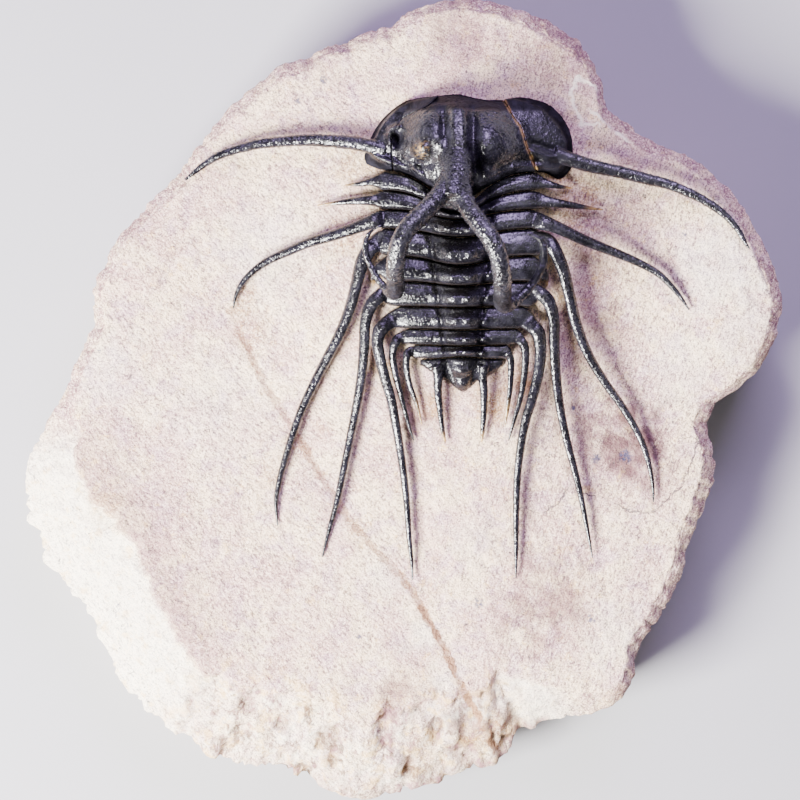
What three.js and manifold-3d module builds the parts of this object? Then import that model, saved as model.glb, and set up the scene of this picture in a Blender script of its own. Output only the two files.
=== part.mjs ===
// A fossil of the spiny trilobite Dicranurus, lying on its back slab of limestone.
// Units are millimetres. +X is the animal's right as seen from above, +Y runs towards its head,
// and +Z points up out of the slab. The origin is the middle of the slab's flat underside.
import * as THREE from "three";
import { mergeVertices } from "three/addons/utils/BufferGeometryUtils.js";
import Module from "manifold-3d";

const wasm = await Module();
wasm.setup();

// Driving dimensions of the slab
const SLAB_THICKNESS = 20; // at its plain surface, away from the mound
const MOUND = { x: 10.6, y: 25, halfWidth: 27, halfLength: 38, height: 5.5 };
const PLATEAU = SLAB_THICKNESS + MOUND.height; // what the animal lies on
const EAST_RISE = { x: 66, y: 20, radius: 20, height: 2.5 }; // the slab lifts again at its right
const EAST_DIP = { x: 42, y: 8, radius: 17, depth: 1.6 }; // and dips beside the right-hand spines
const SLAB_RINGS = 10; // on the top face, from the centre to the rim
const RIM = { width: 2.4, drop: 2.2 }; // the narrow broken edge
const BREAK = { width: 15, drop: 9, from: 200, to: 284, fade: 24 }; // the wide broken edge, lower left
const FOOT = { level: 4.5, inset: 2.2, soleInset: 4.4 };

// Driving dimensions of the animal
const GAP = 0.3; // between two pieces that touch
const BED = 0.45; // from the slab's smooth surface to the underside of the animal
const EDGE = 0.9; // least thickness of a plate
const MIDLINE = { x: 10.7, y: 29, lean: -0.024 };
const HEAD = { y: 47.2, cheekHeight: 5.4, domeHeight: 10.4 };
const TAIL_TIP_Y = 1.3;

const clamp01 = (t) => Math.min(1, Math.max(0, t));
const smooth = (from, to, t) => {
  const s = clamp01((t - from) / (to - from));
  return s * s * (3 - 2 * s);
};
const mix = (a, b, t) => a + (b - a) * t;
const bump = (p, q) => Math.exp(-p * p - q * q);
const dome = (p, q) => Math.sqrt(Math.max(0, 1 - p * p - q * q));
const softMax = (a, b, k) => {
  const h = Math.max(k - Math.abs(a - b), 0) / k;
  return Math.max(a, b) + (h * h * k) / 4;
};

// X of the animal's midline, which leans a little.
const midline = (y) => MIDLINE.x + MIDLINE.lean * (y - MIDLINE.y);

// Height of the slab's top face.
function slabTop(x, y) {
  const q = ((x - MOUND.x) / MOUND.halfWidth) ** 2 + ((y - MOUND.y) / MOUND.halfLength) ** 2;
  const rise = bump((x - EAST_RISE.x) / EAST_RISE.radius, (y - EAST_RISE.y) / EAST_RISE.radius);
  const dip = bump((x - EAST_DIP.x) / EAST_DIP.radius, (y - EAST_DIP.y) / EAST_DIP.radius);
  return (
    SLAB_THICKNESS +
    MOUND.height * Math.exp(-(q ** 1.6)) +
    EAST_RISE.height * rise -
    EAST_DIP.depth * dip
  );
}

const bed = (x, y) => slabTop(x, y) + BED;

// Moves every vertex of a three.js geometry to where place says.
function bend(geometry, place) {
  const position = geometry.getAttribute("position");
  for (let i = 0; i < position.count; i++) {
    position.setXYZ(i, ...place(position.getX(i), position.getY(i), position.getZ(i)));
  }
  return geometry;
}

// A closed geometry as a manifold-3d solid.
function solid(geometry) {
  const bare = new THREE.BufferGeometry().setAttribute(
    "position",
    (geometry.index ? geometry.toNonIndexed() : geometry).getAttribute("position"),
  );
  const merged = mergeVertices(bare, 1e-4);
  const triVerts = [];
  for (let i = 0; i < merged.index.count; i += 3) {
    const [a, b, c] = [0, 1, 2].map((k) => merged.index.getX(i + k));
    if (a !== b && b !== c && a !== c) triVerts.push(a, b, c);
  }
  return new wasm.Manifold(
    new wasm.Mesh({
      numProp: 3,
      vertProperties: merged.attributes.position.array,
      triVerts: new Uint32Array(triVerts),
    }),
  );
}

const fuse = (geometries) => geometries.map(solid).reduce((all, one) => all.add(one));

function mesh(name, made, material) {
  const { vertProperties, triVerts } = made.getMesh();
  const geometry = new THREE.BufferGeometry();
  geometry.setAttribute("position", new THREE.BufferAttribute(vertProperties, 3));
  geometry.setIndex(new THREE.BufferAttribute(triVerts, 1));
  geometry.computeVertexNormals();
  const node = new THREE.Mesh(geometry, material);
  node.name = name;
  return node;
}

// A plate between a front and a rear edge, from its underside up to the height that top gives.
function plate(front, rear, top, across, along) {
  return bend(new THREE.BoxGeometry(1, 1, 1, across, 1, along), (x, y, z) => {
    const u = x + 0.5;
    const v = z + 0.5;
    const p = front(u).lerp(rear(u), v);
    const low = bed(p.x, p.y);
    return [p.x, p.y, y > 0 ? Math.max(low + EDGE, top(p.x, p.y, v)) : low];
  });
}

// A tapering rod along a smooth curve through the points; radius is a function of the way along it.
function rod(points, radius, sides, steps) {
  const curve = new THREE.CatmullRomCurve3(points.map((p) => new THREE.Vector3(...p)));
  const { normals, binormals } = curve.computeFrenetFrames(steps);
  return bend(new THREE.CylinderGeometry(1, 1, 1, sides, steps), (x, y, z) => {
    const i = Math.round((y + 0.5) * steps);
    return curve
      .getPointAt(i / steps)
      .addScaledVector(binormals[i], x * radius(i / steps))
      .addScaledVector(normals[i], z * radius(i / steps))
      .toArray();
  });
}

// A spine keeps most of its thickness for two thirds of its length, then runs out to a fine point.
const taper = (root) => (t) => root * (1 - 0.5 * t) * (1 - t ** 7) + 0.14;

// Gives the points of a free spine their height: it starts at lift above the slab and comes down to touch it.
function overSlab(points, lift) {
  const last = points.length - 1;
  return points.map(([x, y], i) => {
    const t = i / last;
    return [x, y, slabTop(x, y) + mix(lift, 0.75, t ** 1.3)];
  });
}

// The slab's outline, clockwise from its top, at its widest level
const SLAB_OUTLINE = [
  [6.7, 75.2], [13, 75.8], [18.7, 74.3], [26.3, 72], [34.3, 66.3], [37.3, 60.6], [38.3, 56.2],
  [45.3, 49.8], [56.7, 44.5], [62.8, 38.2], [67.7, 30.6], [71.5, 20.3], [71, 13.5], [68.9, 8.2],
  [64.3, 2.7], [59.4, -0.6], [58, -4.4], [59, -14.4], [55.4, -24.9], [51, -37], [44.2, -48.6],
  [43.4, -53.4], [40.6, -57.2], [35.4, -59.7], [27.3, -61.2], [22.1, -63.7], [19.7, -67.1],
  [17.2, -69.5], [11.1, -70.9], [3.5, -73.3], [-5.6, -75.8], [-13.6, -75], [-16.9, -72.8],
  [-22.9, -70.5], [-30.5, -69.2], [-35.7, -67.9], [-41.7, -63.7], [-47.4, -60.3], [-51.5, -55.8],
  [-54.9, -50.6], [-56.8, -46.1], [-59.4, -41.5], [-62.8, -37.4], [-65.8, -33.3], [-68.4, -29.1],
  [-69, -25.6], [-70.9, -22.7], [-71.5, -18.4], [-71, -11.8], [-68.4, -7.3], [-66.7, -3.9],
  [-64.7, -0.8], [-62.6, 3.9], [-61.3, 7.9], [-58.3, 14.5], [-58.5, 21.6], [-56.4, 25],
  [-54.3, 29.3], [-50.9, 33.7], [-47.8, 37.2], [-42.1, 43.1], [-39.9, 46.2], [-36.5, 50.2],
  [-33.3, 54.3], [-29.9, 57.3], [-21.4, 63.7], [-17.7, 64.7], [-14.3, 66.7], [-9.8, 67.7],
  [-5.3, 69.6], [-1.3, 70.7], [1.3, 73.3],
];

// How much of the wide break there is in a direction: 1 inside its range, fading to 0 beyond it.
function breakShare(x, y) {
  const angle = (THREE.MathUtils.radToDeg(Math.atan2(y, x)) + 360) % 360;
  return (
    smooth(BREAK.from - BREAK.fade, BREAK.from, angle) *
    (1 - smooth(BREAK.to, BREAK.to + BREAK.fade, angle))
  );
}

// The slab is a sphere's net: its rings become the top face, the broken edge and the flat underside.
function slab() {
  const sectors = SLAB_OUTLINE.length;
  const rings = SLAB_RINGS + 4;
  return bend(new THREE.SphereGeometry(1, sectors, rings), (x, y, z) => {
    const sector = (Math.round((Math.atan2(z, -x) / (2 * Math.PI)) * sectors) + sectors) % sectors;
    const ring = Math.round((Math.acos(clamp01((y + 1) / 2) * 2 - 1) / Math.PI) * rings);
    const [ox, oy] = SLAB_OUTLINE[(sectors - sector) % sectors];
    const radius = Math.hypot(ox, oy);
    const share = breakShare(ox, oy);
    const rimAt = (radius - mix(RIM.width, BREAK.width, share)) / radius;
    const edgeLevel = slabTop(ox * rimAt, oy * rimAt) - mix(RIM.drop, BREAK.drop, share);
    const inset = (mm) => (radius - mm) / radius;
    if (ring <= SLAB_RINGS) {
      const k = (ring / SLAB_RINGS) * rimAt;
      return [ox * k, oy * k, slabTop(ox * k, oy * k)];
    }
    const [k, level] = [
      [1, edgeLevel],
      [inset(FOOT.inset), FOOT.level],
      [inset(FOOT.soleInset), 0],
      [0, 0],
    ][ring - SLAB_RINGS - 1];
    return [ox * k, oy * k, level];
  });
}

// Where two segments meet: side is the line's Y over the ribs, axis its Y over the middle.
const JOINTS = [
  { side: 42.6, axis: 36.2 },
  { side: 39.1, axis: 34.9 },
  { side: 35.5, axis: 33.6 },
  { side: 31.9, axis: 30.2 },
  { side: 26.8, axis: 24.9 },
  { side: 22.0, axis: 21.1 },
  { side: 17.3, axis: 17.1 },
  { side: 13.1, axis: 12.9 },
  { side: 10.1, axis: 9.9 },
  { side: 7.5, axis: 7.9 },
];

const axisHalfWidth = (y) => 3 + 0.105 * clamp01((y - 8) / 24) * 24;
const axisHeight = (y) => 4.2 + 3.8 * smooth(2, 26, y);
const ribHeight = (y) => 0.46 * axisHeight(y);

function jointY(joint, offset) {
  const half = axisHalfWidth(joint.side) * 1.25;
  return mix(joint.side, joint.axis, bump(offset / half, 0));
}

// Height of the arched back above the slab, at a distance from the midline.
function backHeight(x, y, halfWidth) {
  const offset = Math.abs(x - midline(y));
  const axis = axisHalfWidth(y);
  const rib = ribHeight(y);
  if (offset < axis) {
    return rib + (axisHeight(y) - rib) * (1 - (offset / axis) ** 2) ** 0.6;
  }
  return rib * (1 - 0.45 * ((offset - axis) / (halfWidth - axis)) ** 2);
}

// The nine segments of the thorax, from the head back. Each rib runs on as a spine on either side:
// its route is in X and Y, from the bend at the rib's end to the tip, and lift is its height at the bend.
const SEGMENTS = [
  {
    halfWidth: 15.2, radius: 0.55, lift: 2.2,
    left: [[-5.6, 40.7], [-8, 40.3], [-10.7, 40.1]],
    right: [[27, 40.3], [29.5, 39.8], [32, 39.5]],
  },
  {
    halfWidth: 15.2, radius: 0.75, lift: 2.4,
    left: [[-5.4, 37.2], [-9.8, 37], [-15.9, 36.3]],
    right: [[27.3, 36.9], [33, 36.1], [37.7, 35.5]],
  },
  {
    halfWidth: 14.6, radius: 1.15, lift: 3.6,
    left: [
      [-4.2, 33.6], [-6.6, 32.8], [-9.8, 31.6], [-13.6, 30.4], [-17.4, 29.3], [-21.2, 27.7],
      [-25, 26], [-27.8, 24.1], [-30.1, 21.7], [-31.4, 19.4], [-32, 17.7],
    ],
    right: [
      [25.4, 33.3], [28.2, 32.4], [31.1, 31.1], [33.9, 29.8], [37.7, 28.3], [41.5, 26.8],
      [45.3, 25.1], [48.2, 23.4], [50.6, 21.1], [52.5, 18.8], [53.9, 16.7],
    ],
  },
  {
    halfWidth: 15.6, radius: 1.15, lift: 3,
    left: [
      [-5.4, 28.7], [-7.3, 26], [-8.5, 21.7], [-9.8, 16.9], [-11.7, 12.2], [-14, 7.8], [-16.4, 3.2],
      [-18.9, -2.1], [-20.6, -6.8], [-22.1, -11.6], [-23.1, -15.4], [-23.8, -19.2], [-23.7, -23],
    ],
    right: [
      [27.3, 29.4], [29.9, 24.9], [31.3, 19.6], [32.6, 14.3], [34.9, 8.4], [37.9, 3.4],
      [41.1, -1.1], [43.8, -5.5], [45.6, -9.5], [46.7, -13.7], [47.2, -17.3], [47.2, -19.4],
    ],
  },
  {
    halfWidth: 14.8, radius: 0.9, lift: 1.6,
    left: [[-4.6, 24], [-5.3, 22.6], [-5.4, 21.2]],
    right: [[26, 24], [26.9, 22.6], [27.1, 21.2]],
  },
  {
    halfWidth: 14, radius: 1.05, lift: 2.8,
    left: [
      [-3.9, 19.4], [-5.9, 17.4], [-6.9, 14.2], [-7.1, 10.1], [-7.6, 4.6], [-8.6, -1.5],
      [-9.8, -7.4], [-11, -13.2], [-12.3, -19.4], [-13.8, -24.5], [-15.2, -28.9],
    ],
    right: [
      [25.1, 20.1], [27.3, 18.4], [28.4, 15], [28.5, 11], [28.8, 5.2], [29.6, -1.5],
      [30.8, -7.3], [32.2, -12.7], [33.5, -18], [34.6, -23.5], [35.8, -29.8],
    ],
  },
  {
    halfWidth: 12.4, radius: 1.05, lift: 3,
    left: [
      [-2.6, 14.3], [-4.1, 12.9], [-4.6, 10.6], [-4.2, 7.9], [-3.2, 3.8], [-2.1, 0],
      [-1.2, -4.7], [-0.4, -9.5], [0.3, -14.4], [0.9, -20.1], [1.3, -25.8], [1.8, -30.6], [2, -34],
    ],
    right: [
      [24.2, 13.9], [25.4, 12.4], [25.9, 9.6], [25.6, 5.2], [24.3, -0.2], [23.2, -3.8],
      [22.2, -9.1], [21.6, -15], [21.4, -21.7], [21.4, -28.4], [21.5, -32.9],
    ],
  },
  {
    halfWidth: 11, radius: 0.7, lift: 2.4,
    left: [
      [-0.7, 11.2], [-1.5, 10.1], [-1.8, 8.3], [-1.6, 6.3], [-0.8, 2.7], [0.2, -1.1],
      [1.2, -4.9], [2.2, -7.8],
    ],
    right: [
      [22, 11.2], [22.8, 10.1], [23.1, 8.2], [22.9, 4.6], [22.1, -0.2], [21, -4], [20, -7.8],
    ],
  },
  {
    halfWidth: 9.2, radius: 0.62, lift: 2.3,
    left: [[1.3, 8.8], [0.8, 7.7], [0.8, 5.9], [1.4, 2.7], [2.6, -0.6], [3.7, -4.8]],
    right: [[19.7, 8.8], [20.3, 7.6], [20.4, 5.5], [20.2, 1.7], [19.7, -2.1], [19.4, -4.8]],
  },
];

// The ridge along a rib starts beside the middle and leads into the rib's spine.
function ribRoute(segment, front, rear, side, route) {
  const ridge = [0.05, 0.5, 0.9].map((share) => {
    const ahead = (front.side + rear.side) / 2;
    const offset = mix(axisHalfWidth(ahead), segment.halfWidth, share);
    const x = midline(ahead) + side * offset;
    const y = mix(jointY(front, offset), jointY(rear, offset), 0.58);
    return [x, y, slabTop(x, y) + backHeight(x, y, segment.halfWidth) - 0.3];
  });
  return [...ridge, ...overSlab(route, segment.lift)];
}

function thoraxSegment(segment, index) {
  const [front, rear] = [JOINTS[index], JOINTS[index + 1]];
  const edge = (joint, shift) => (u) => {
    const offset = mix(-segment.halfWidth, segment.halfWidth, u);
    const y = jointY(joint, Math.abs(offset)) + shift;
    return new THREE.Vector2(midline(y) + offset, y);
  };
  const top = (x, y, v) => {
    const ring = 0.55 * Math.sin(Math.PI * v) - 0.35;
    return slabTop(x, y) + backHeight(x, y, segment.halfWidth) + ring;
  };
  const ridge = (side, route) => {
    const points = ribRoute(segment, front, rear, side, route);
    return rod(points, taper(segment.radius), 6, Math.max(6, points.length - 2));
  };
  return fuse([
    plate(edge(front, -GAP / 2), edge(rear, GAP / 2), top, 14, 2),
    ridge(-1, segment.left),
    ridge(1, segment.right),
  ]);
}

// The tail shield: a short winged plate with two border spines and a blunt tip.
function tail() {
  const front = JOINTS.at(-1);
  const halfWidth = 7.9;
  const rearY = (offset) =>
    TAIL_TIP_Y + 2.2 * smooth(0, 3.4, offset) + 3 * smooth(3, halfWidth, offset);
  const edge = (yAt) => (u) => {
    const offset = mix(-halfWidth, halfWidth, u);
    const y = yAt(Math.abs(offset));
    return new THREE.Vector2(midline(y) + offset, y);
  };
  const top = (x, y) => slabTop(x, y) + backHeight(x, y, 12) * smooth(-4, 7, y);
  const spine = (route) => rod(overSlab(route, 2.3), taper(0.72), 6, 7);
  return fuse([
    plate(edge((offset) => jointY(front, offset) - GAP / 2), edge(rearY), top, 12, 3),
    spine([[6.4, 6.3], [6.7, 4], [6.7, 1.3], [7.1, -2.1], [7.5, -5.3], [8.1, -8.4]]),
    spine([[15.3, 6.3], [15.1, 4], [15.3, 1.3], [15.3, -2.1], [15.1, -5.3], [14.9, -8.2]]),
  ]);
}

// Height of the head shield above the slab: low cheeks, a high middle with three lobes, and the neck node.
function headHeight(x, y) {
  const a = x - midline(y);
  const b = y - HEAD.y;
  const cheeks = HEAD.cheekHeight * dome((a - 2) / 22, b / 12.5);
  const middle = HEAD.domeHeight * dome(a / 11.6, (b - 0.4) / 11);
  const ridge = 1.5 * bump(a / 2.4, 0) * smooth(-9, -5, b) * (1 - smooth(6, 10, b));
  const lobes = 1.9 * bump((Math.abs(a) - 6.4) / 3.2, (b + 0.6) / 4.2);
  const neck = 2.6 * bump(a / 3.2, (b + 6.4) / 2.6);
  return softMax(cheeks, middle, 2) + ridge + lobes + neck;
}

// Outer edge of the head shield, from the left cheek's corner round the front to the right one.
const HEAD_FRONT = [
  [-7.2, 45.3], [-6.2, 48.4], [-3.6, 52.6], [0.7, 55.9], [6.6, 56.8], [10.2, 57.1],
  [15.9, 56.1], [19, 56.2], [22.5, 56.6], [28, 55], [31.4, 50.6], [32.2, 45.5],
];
const HEAD_REAR = [
  [-6.9, 44.1], [-4.6, 43.1], [0, 42.2], [5, 39.4], [10.4, 36.4], [16, 39.4], [21, 41.9],
  [26.6, 42.4], [29.6, 41.2], [32.3, 43.9],
];

// The horns spring from the neck node, arch back over the body, and curl under, out and forward.
// Each point is X, Y and height above the plateau.
const HORNS = [
  [
    [9.2, 43.2, 9.5], [8.2, 40.2, 13], [6.2, 36.9, 16.6], [3.2, 33.8, 19.2], [0.8, 31.2, 20.4],
    [-0.5, 28.6, 20.4], [-1.1, 25.8, 19], [-1.3, 23.2, 16.6], [-1.2, 20.9, 13.6],
    [-1.5, 19.7, 10.6], [-3, 20.5, 8.4], [-4.9, 22.9, 7.4], [-6.3, 25.8, 7], [-6.9, 28.4, 7],
    [-6.2, 30.8, 7.2], [-3.9, 32.4, 7.6],
  ],
  [
    [10.9, 43, 9.5], [11.1, 39.4, 13.4], [12.1, 35.6, 16.8], [14.3, 32.5, 19.2], [16.4, 29.6, 20.4],
    [17.8, 26.4, 20.3], [18.4, 23.2, 18.7], [18.6, 20.2, 15.9], [18.6, 18.1, 12.6],
    [19.4, 17.4, 9.8], [21.4, 18.5, 8], [23.9, 21, 7.2], [25.8, 24.1, 7], [26.5, 27.2, 7],
    [25.8, 29.6, 7.2], [23.4, 30.8, 7.6],
  ],
];
// A horn stays thick down to where it turns under, and its end is a thin curl.
const hornRadius = (t) =>
  (mix(1.7, 0.62, smooth(0.62, 0.8, t)) + 0.1 * Math.sin(6 * t)) * mix(1, 0.5, smooth(0.9, 1, t));
// Both horns spring from one broad stalk on the neck.
const STALK = [[10.2, 44.8, 8], [10, 41.6, 11.3], [9.7, 38.6, 14.2]];
const stalkRadius = (t) => mix(3.3, 2.9, t);

// The cheek spines, X, Y and height above the slab
const CHEEK_SPINES = [
  [
    [-3, 46.6, 2.4], [-6, 47.3, 2.6], [-8.8, 47.9, 2.6], [-15.5, 48.5, 2.6], [-19.3, 48.5, 2.6],
    [-26.9, 47.8, 2.4], [-30.7, 46.9, 2.2], [-34.5, 45.6, 1.8], [-37.3, 43.9, 1.3],
    [-40.6, 41.4, 0.75],
  ],
  [
    [28.5, 46, 2.4], [31.5, 44.9, 2.6], [35, 43.8, 2.6], [41.5, 42.4, 2.6], [45.3, 41.4, 2.6],
    [49.1, 40.5, 2.4], [52.9, 39.1, 2.2], [56.7, 37.2, 1.8], [59.6, 35.3, 1.4],
    [62, 33.1, 1.1], [65.3, 28.5, 0.75],
  ],
];

// The seams that part the cheeks from the middle of the head, from the front edge back past the eye
const SEAMS = [
  [[7.2, 59], [4.9, 54.8], [0, 52.4], [-1.6, 49.4], [-2, 46.2], [-1.4, 41]],
  [[18.4, 59], [19.6, 55.4], [22.2, 50.6], [23.4, 46.8], [24.6, 44.4], [26.4, 40]],
];

// A thin upright wall along a seam, for cutting the head shield.
function seamCut(points) {
  const line = new THREE.SplineCurve(points.map(([x, y]) => new THREE.Vector2(x, y)));
  const middle = line.getPoints(14);
  const side = (sign) =>
    middle.map((p, i) => {
      const t = line.getTangent(i / 14);
      return new THREE.Vector2(p.x - (sign * t.y * GAP) / 2, p.y + (sign * t.x * GAP) / 2);
    });
  const shape = new THREE.Shape([...side(1), ...side(-1).reverse()]);
  const height = 2 * PLATEAU;
  return solid(new THREE.ExtrudeGeometry(shape, { depth: height, bevelEnabled: false }));
}

function eye(x, y) {
  const z = slabTop(x, y) + headHeight(x, y);
  return bend(new THREE.SphereGeometry(1, 8, 5), (ex, ey, ez) => [
    x + 1.15 * ex,
    y + 1.3 * ez * -1,
    z + 1.5 * ey,
  ]);
}

// The head shield as its three natural plates, from the left: cheek, middle with both horns, cheek.
function head() {
  const edge = (points) => {
    const line = new THREE.SplineCurve(points.map(([x, y]) => new THREE.Vector2(x, y)));
    return (u) => line.getPointAt(u);
  };
  const rearLine = edge(HEAD_REAR);
  const rear = (u) => {
    const p = rearLine(u);
    const offset = Math.abs(p.x - midline(p.y));
    if (offset < SEGMENTS[0].halfWidth + GAP) {
      p.y = Math.max(p.y, jointY(JOINTS[0], offset) + GAP / 2);
    }
    return p;
  };
  const top = (x, y, v) => slabTop(x, y) + Math.max(1.2, headHeight(x, y) * roll(v));
  const roll = (v) => Math.sqrt(clamp01(v / 0.16)) * mix(0.75, 1, clamp01((1 - v) / 0.1));
  const raised = (points) => points.map(([x, y, h]) => [x, y, PLATEAU + h]);
  const horn = (points) => rod(raised(points), hornRadius, 7, 24);
  const cheekSpine = (points) =>
    rod(points.map(([x, y, h]) => [x, y, slabTop(x, y) + h]), taper(1.3), 6, 12);
  const whole = fuse([
    plate(edge(HEAD_FRONT), rear, top, 20, 7),
    rod(raised(STALK), stalkRadius, 8, 3),
    ...HORNS.map(horn),
    ...CHEEK_SPINES.map(cheekSpine),
    eye(-0.2, 49.1),
    eye(21.6, 47.6),
  ]);
  const parted = SEAMS.reduce((rest, points) => rest.subtract(seamCut(points)), whole);
  const left = (made) => made.boundingBox().min[0];
  return parted.decompose().sort((a, b) => left(a) - left(b));
}

const limestone = new THREE.MeshStandardMaterial({ color: 0xcdbdb2, roughness: 0.95, metalness: 0 });
const shell = new THREE.MeshStandardMaterial({ color: 0x1c1a20, roughness: 0.35, metalness: 0 });

const fossil = new THREE.Group();
fossil.add(mesh("limestone_matrix", solid(slab()), limestone));
const [leftCheek, cranidium, rightCheek] = head();
fossil.add(mesh("left_cheek", leftCheek, shell));
fossil.add(mesh("cranidium_with_horns", cranidium, shell));
fossil.add(mesh("right_cheek", rightCheek, shell));
SEGMENTS.forEach((segment, i) => {
  fossil.add(mesh(`thorax_segment_${i + 1}`, thoraxSegment(segment, i), shell));
});
fossil.add(mesh("pygidium", tail(), shell));

export default fossil;
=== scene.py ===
"""A spiny trilobite, Dicranurus, prepared in relief on a slab of limestone that lies on its back.

Shapes are worked out in millimetres from driving dimensions, then scaled to metres. +X is the
animal's right from above, +Y its head end, +Z up out of the slab.
"""

import math

import bpy
import numpy as np
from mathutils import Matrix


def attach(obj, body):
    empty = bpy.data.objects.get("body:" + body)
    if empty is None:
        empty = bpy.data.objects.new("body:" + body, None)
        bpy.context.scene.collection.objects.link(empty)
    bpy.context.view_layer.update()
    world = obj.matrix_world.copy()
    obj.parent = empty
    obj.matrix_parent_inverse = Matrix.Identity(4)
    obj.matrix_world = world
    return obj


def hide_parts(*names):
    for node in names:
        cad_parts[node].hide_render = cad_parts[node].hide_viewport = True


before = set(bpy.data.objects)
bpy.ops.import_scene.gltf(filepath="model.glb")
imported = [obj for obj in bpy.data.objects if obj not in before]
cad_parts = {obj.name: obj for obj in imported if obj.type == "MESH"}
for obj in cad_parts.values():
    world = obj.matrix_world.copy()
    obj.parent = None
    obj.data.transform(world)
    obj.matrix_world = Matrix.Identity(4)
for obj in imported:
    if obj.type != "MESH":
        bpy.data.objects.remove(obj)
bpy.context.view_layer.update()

MM = 0.001

# Driving dimensions of the slab
SLAB_THICKNESS = 20
MOUND = {"x": 10.6, "y": 25, "half_width": 27, "half_length": 38, "height": 5.5}
PLATEAU = SLAB_THICKNESS + MOUND["height"]
EAST_RISE = {"x": 66, "y": 20, "radius": 20, "height": 2.5}
EAST_DIP = {"x": 42, "y": 8, "radius": 17, "depth": 1.6}
RIM = {"width": 2.4, "drop": 2.2}
BREAK = {"width": 15, "drop": 9, "from": 200, "to": 284, "fade": 24}
FOOT = {"level": 4.5, "inset": 2.2, "sole_inset": 4.4}
SLAB_OUTLINE = [
    (6.7, 75.2), (13, 75.8), (18.7, 74.3), (26.3, 72), (34.3, 66.3), (37.3, 60.6), (38.3, 56.2),
    (45.3, 49.8), (56.7, 44.5), (62.8, 38.2), (67.7, 30.6), (71.5, 20.3), (71, 13.5), (68.9, 8.2),
    (64.3, 2.7), (59.4, -0.6), (58, -4.4), (59, -14.4), (55.4, -24.9), (51, -37), (44.2, -48.6),
    (43.4, -53.4), (40.6, -57.2), (35.4, -59.7), (27.3, -61.2), (22.1, -63.7), (19.7, -67.1),
    (17.2, -69.5), (11.1, -70.9), (3.5, -73.3), (-5.6, -75.8), (-13.6, -75), (-16.9, -72.8),
    (-22.9, -70.5), (-30.5, -69.2), (-35.7, -67.9), (-41.7, -63.7), (-47.4, -60.3),
    (-51.5, -55.8), (-54.9, -50.6), (-56.8, -46.1), (-59.4, -41.5), (-62.8, -37.4),
    (-65.8, -33.3), (-68.4, -29.1), (-69, -25.6), (-70.9, -22.7), (-71.5, -18.4), (-71, -11.8),
    (-68.4, -7.3), (-66.7, -3.9), (-64.7, -0.8), (-62.6, 3.9), (-61.3, 7.9), (-58.3, 14.5),
    (-58.5, 21.6), (-56.4, 25), (-54.3, 29.3), (-50.9, 33.7), (-47.8, 37.2), (-42.1, 43.1),
    (-39.9, 46.2), (-36.5, 50.2), (-33.3, 54.3), (-29.9, 57.3), (-21.4, 63.7), (-17.7, 64.7),
    (-14.3, 66.7), (-9.8, 67.7), (-5.3, 69.6), (-1.3, 70.7), (1.3, 73.3),
]

# Driving dimensions of the animal
GAP = 0.3
HALF_SEAM = GAP / 2 - 0.1  # mm from a seam's line to the edge of each plate
# Sizes in mm of the cells that the fused pieces are built from
TAIL_CELL, HEAD_CELL, CHEEK_CELL = 0.14, 0.185, 0.2
MIDLINE = {"x": 10.7, "y": 29, "lean": -0.024}
HEAD = {"y": 47.2, "cheek_height": 5.4, "dome_height": 10.4}
TAIL_TIP_Y = 1.3


# Small functions of shape


def smooth(low, high, t):
    s = np.clip((t - low) / (high - low), 0, 1)
    return s * s * (3 - 2 * s)


def mix(a, b, t):
    return a + (b - a) * t


def bump(p, q=0.0):
    return np.exp(-p * p - q * q)


def plump(p, q):
    """A rounded lobe, flatter on top and steeper at its sides than a bump."""
    return np.exp(-((p * p + q * q) ** 1.5))


def dome(p, q=0.0):
    return np.sqrt(np.maximum(0, 1 - p * p - q * q))


def soft_max(a, b, k):
    h = np.maximum(k - np.abs(a - b), 0) / k
    return np.maximum(a, b) + h * h * k / 4


# Steady noise, the same on every run


def lattice(cells, salt):
    """A number from 0 to 1 for each whole-number cell."""
    c = cells.astype(np.int64).astype(np.uint32)
    h = c[..., 0] * np.uint32(73856093) ^ c[..., 1] * np.uint32(19349663)
    h = h ^ c[..., 2] * np.uint32(83492791) ^ np.uint32(salt * 2654435761 & 0xFFFFFFFF)
    h = (h ^ (h >> 13)) * np.uint32(1274126177)
    h = h ^ (h >> 16)
    return (h & 0xFFFFFF) / 0xFFFFFF


def grain(p, salt=0):
    """Gradient noise, about -1 to 1, with one grain to each unit cell."""
    base = np.floor(p)
    inside = p - base
    weight = inside**3 * (inside * (inside * 6 - 15) + 10)
    total = np.zeros(p.shape[:-1])
    for corner in np.ndindex(2, 2, 2):
        cell = base + corner
        slope = np.stack([lattice(cell, salt + k) for k in range(3)], -1) * 2 - 1
        share = np.prod(np.where(corner, weight, 1 - weight), -1)
        total += share * ((inside - corner) * slope).sum(-1)
    return total * 1.6


def rough(p, size, octaves=4, salt=0):
    """Noise of several sizes together; the largest grains are size mm across."""
    return sum(grain(p / size * 2**k + 17.3 * k, salt + 9 * k) / 2**k for k in range(octaves))


def seed_distance(p, salt=0):
    """Distance to the nearest of a scatter of seeds, one to each unit cell."""
    base = np.floor(p)
    best = np.full(p.shape[:-1], 9.0)
    for step in np.ndindex(3, 3, 3):
        cell = base + step - 1
        seed = cell + np.stack([lattice(cell, salt + k) for k in range(3)], -1)
        best = np.minimum(best, ((seed - p) ** 2).sum(-1))
    return np.sqrt(best)


def granules(p, spacing, salt=0):
    """Round grains, 0 between them and 1 on their tops."""
    return 1 - smooth(0.12, 0.52, seed_distance(p / spacing, salt))


# Curves and skins


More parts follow.
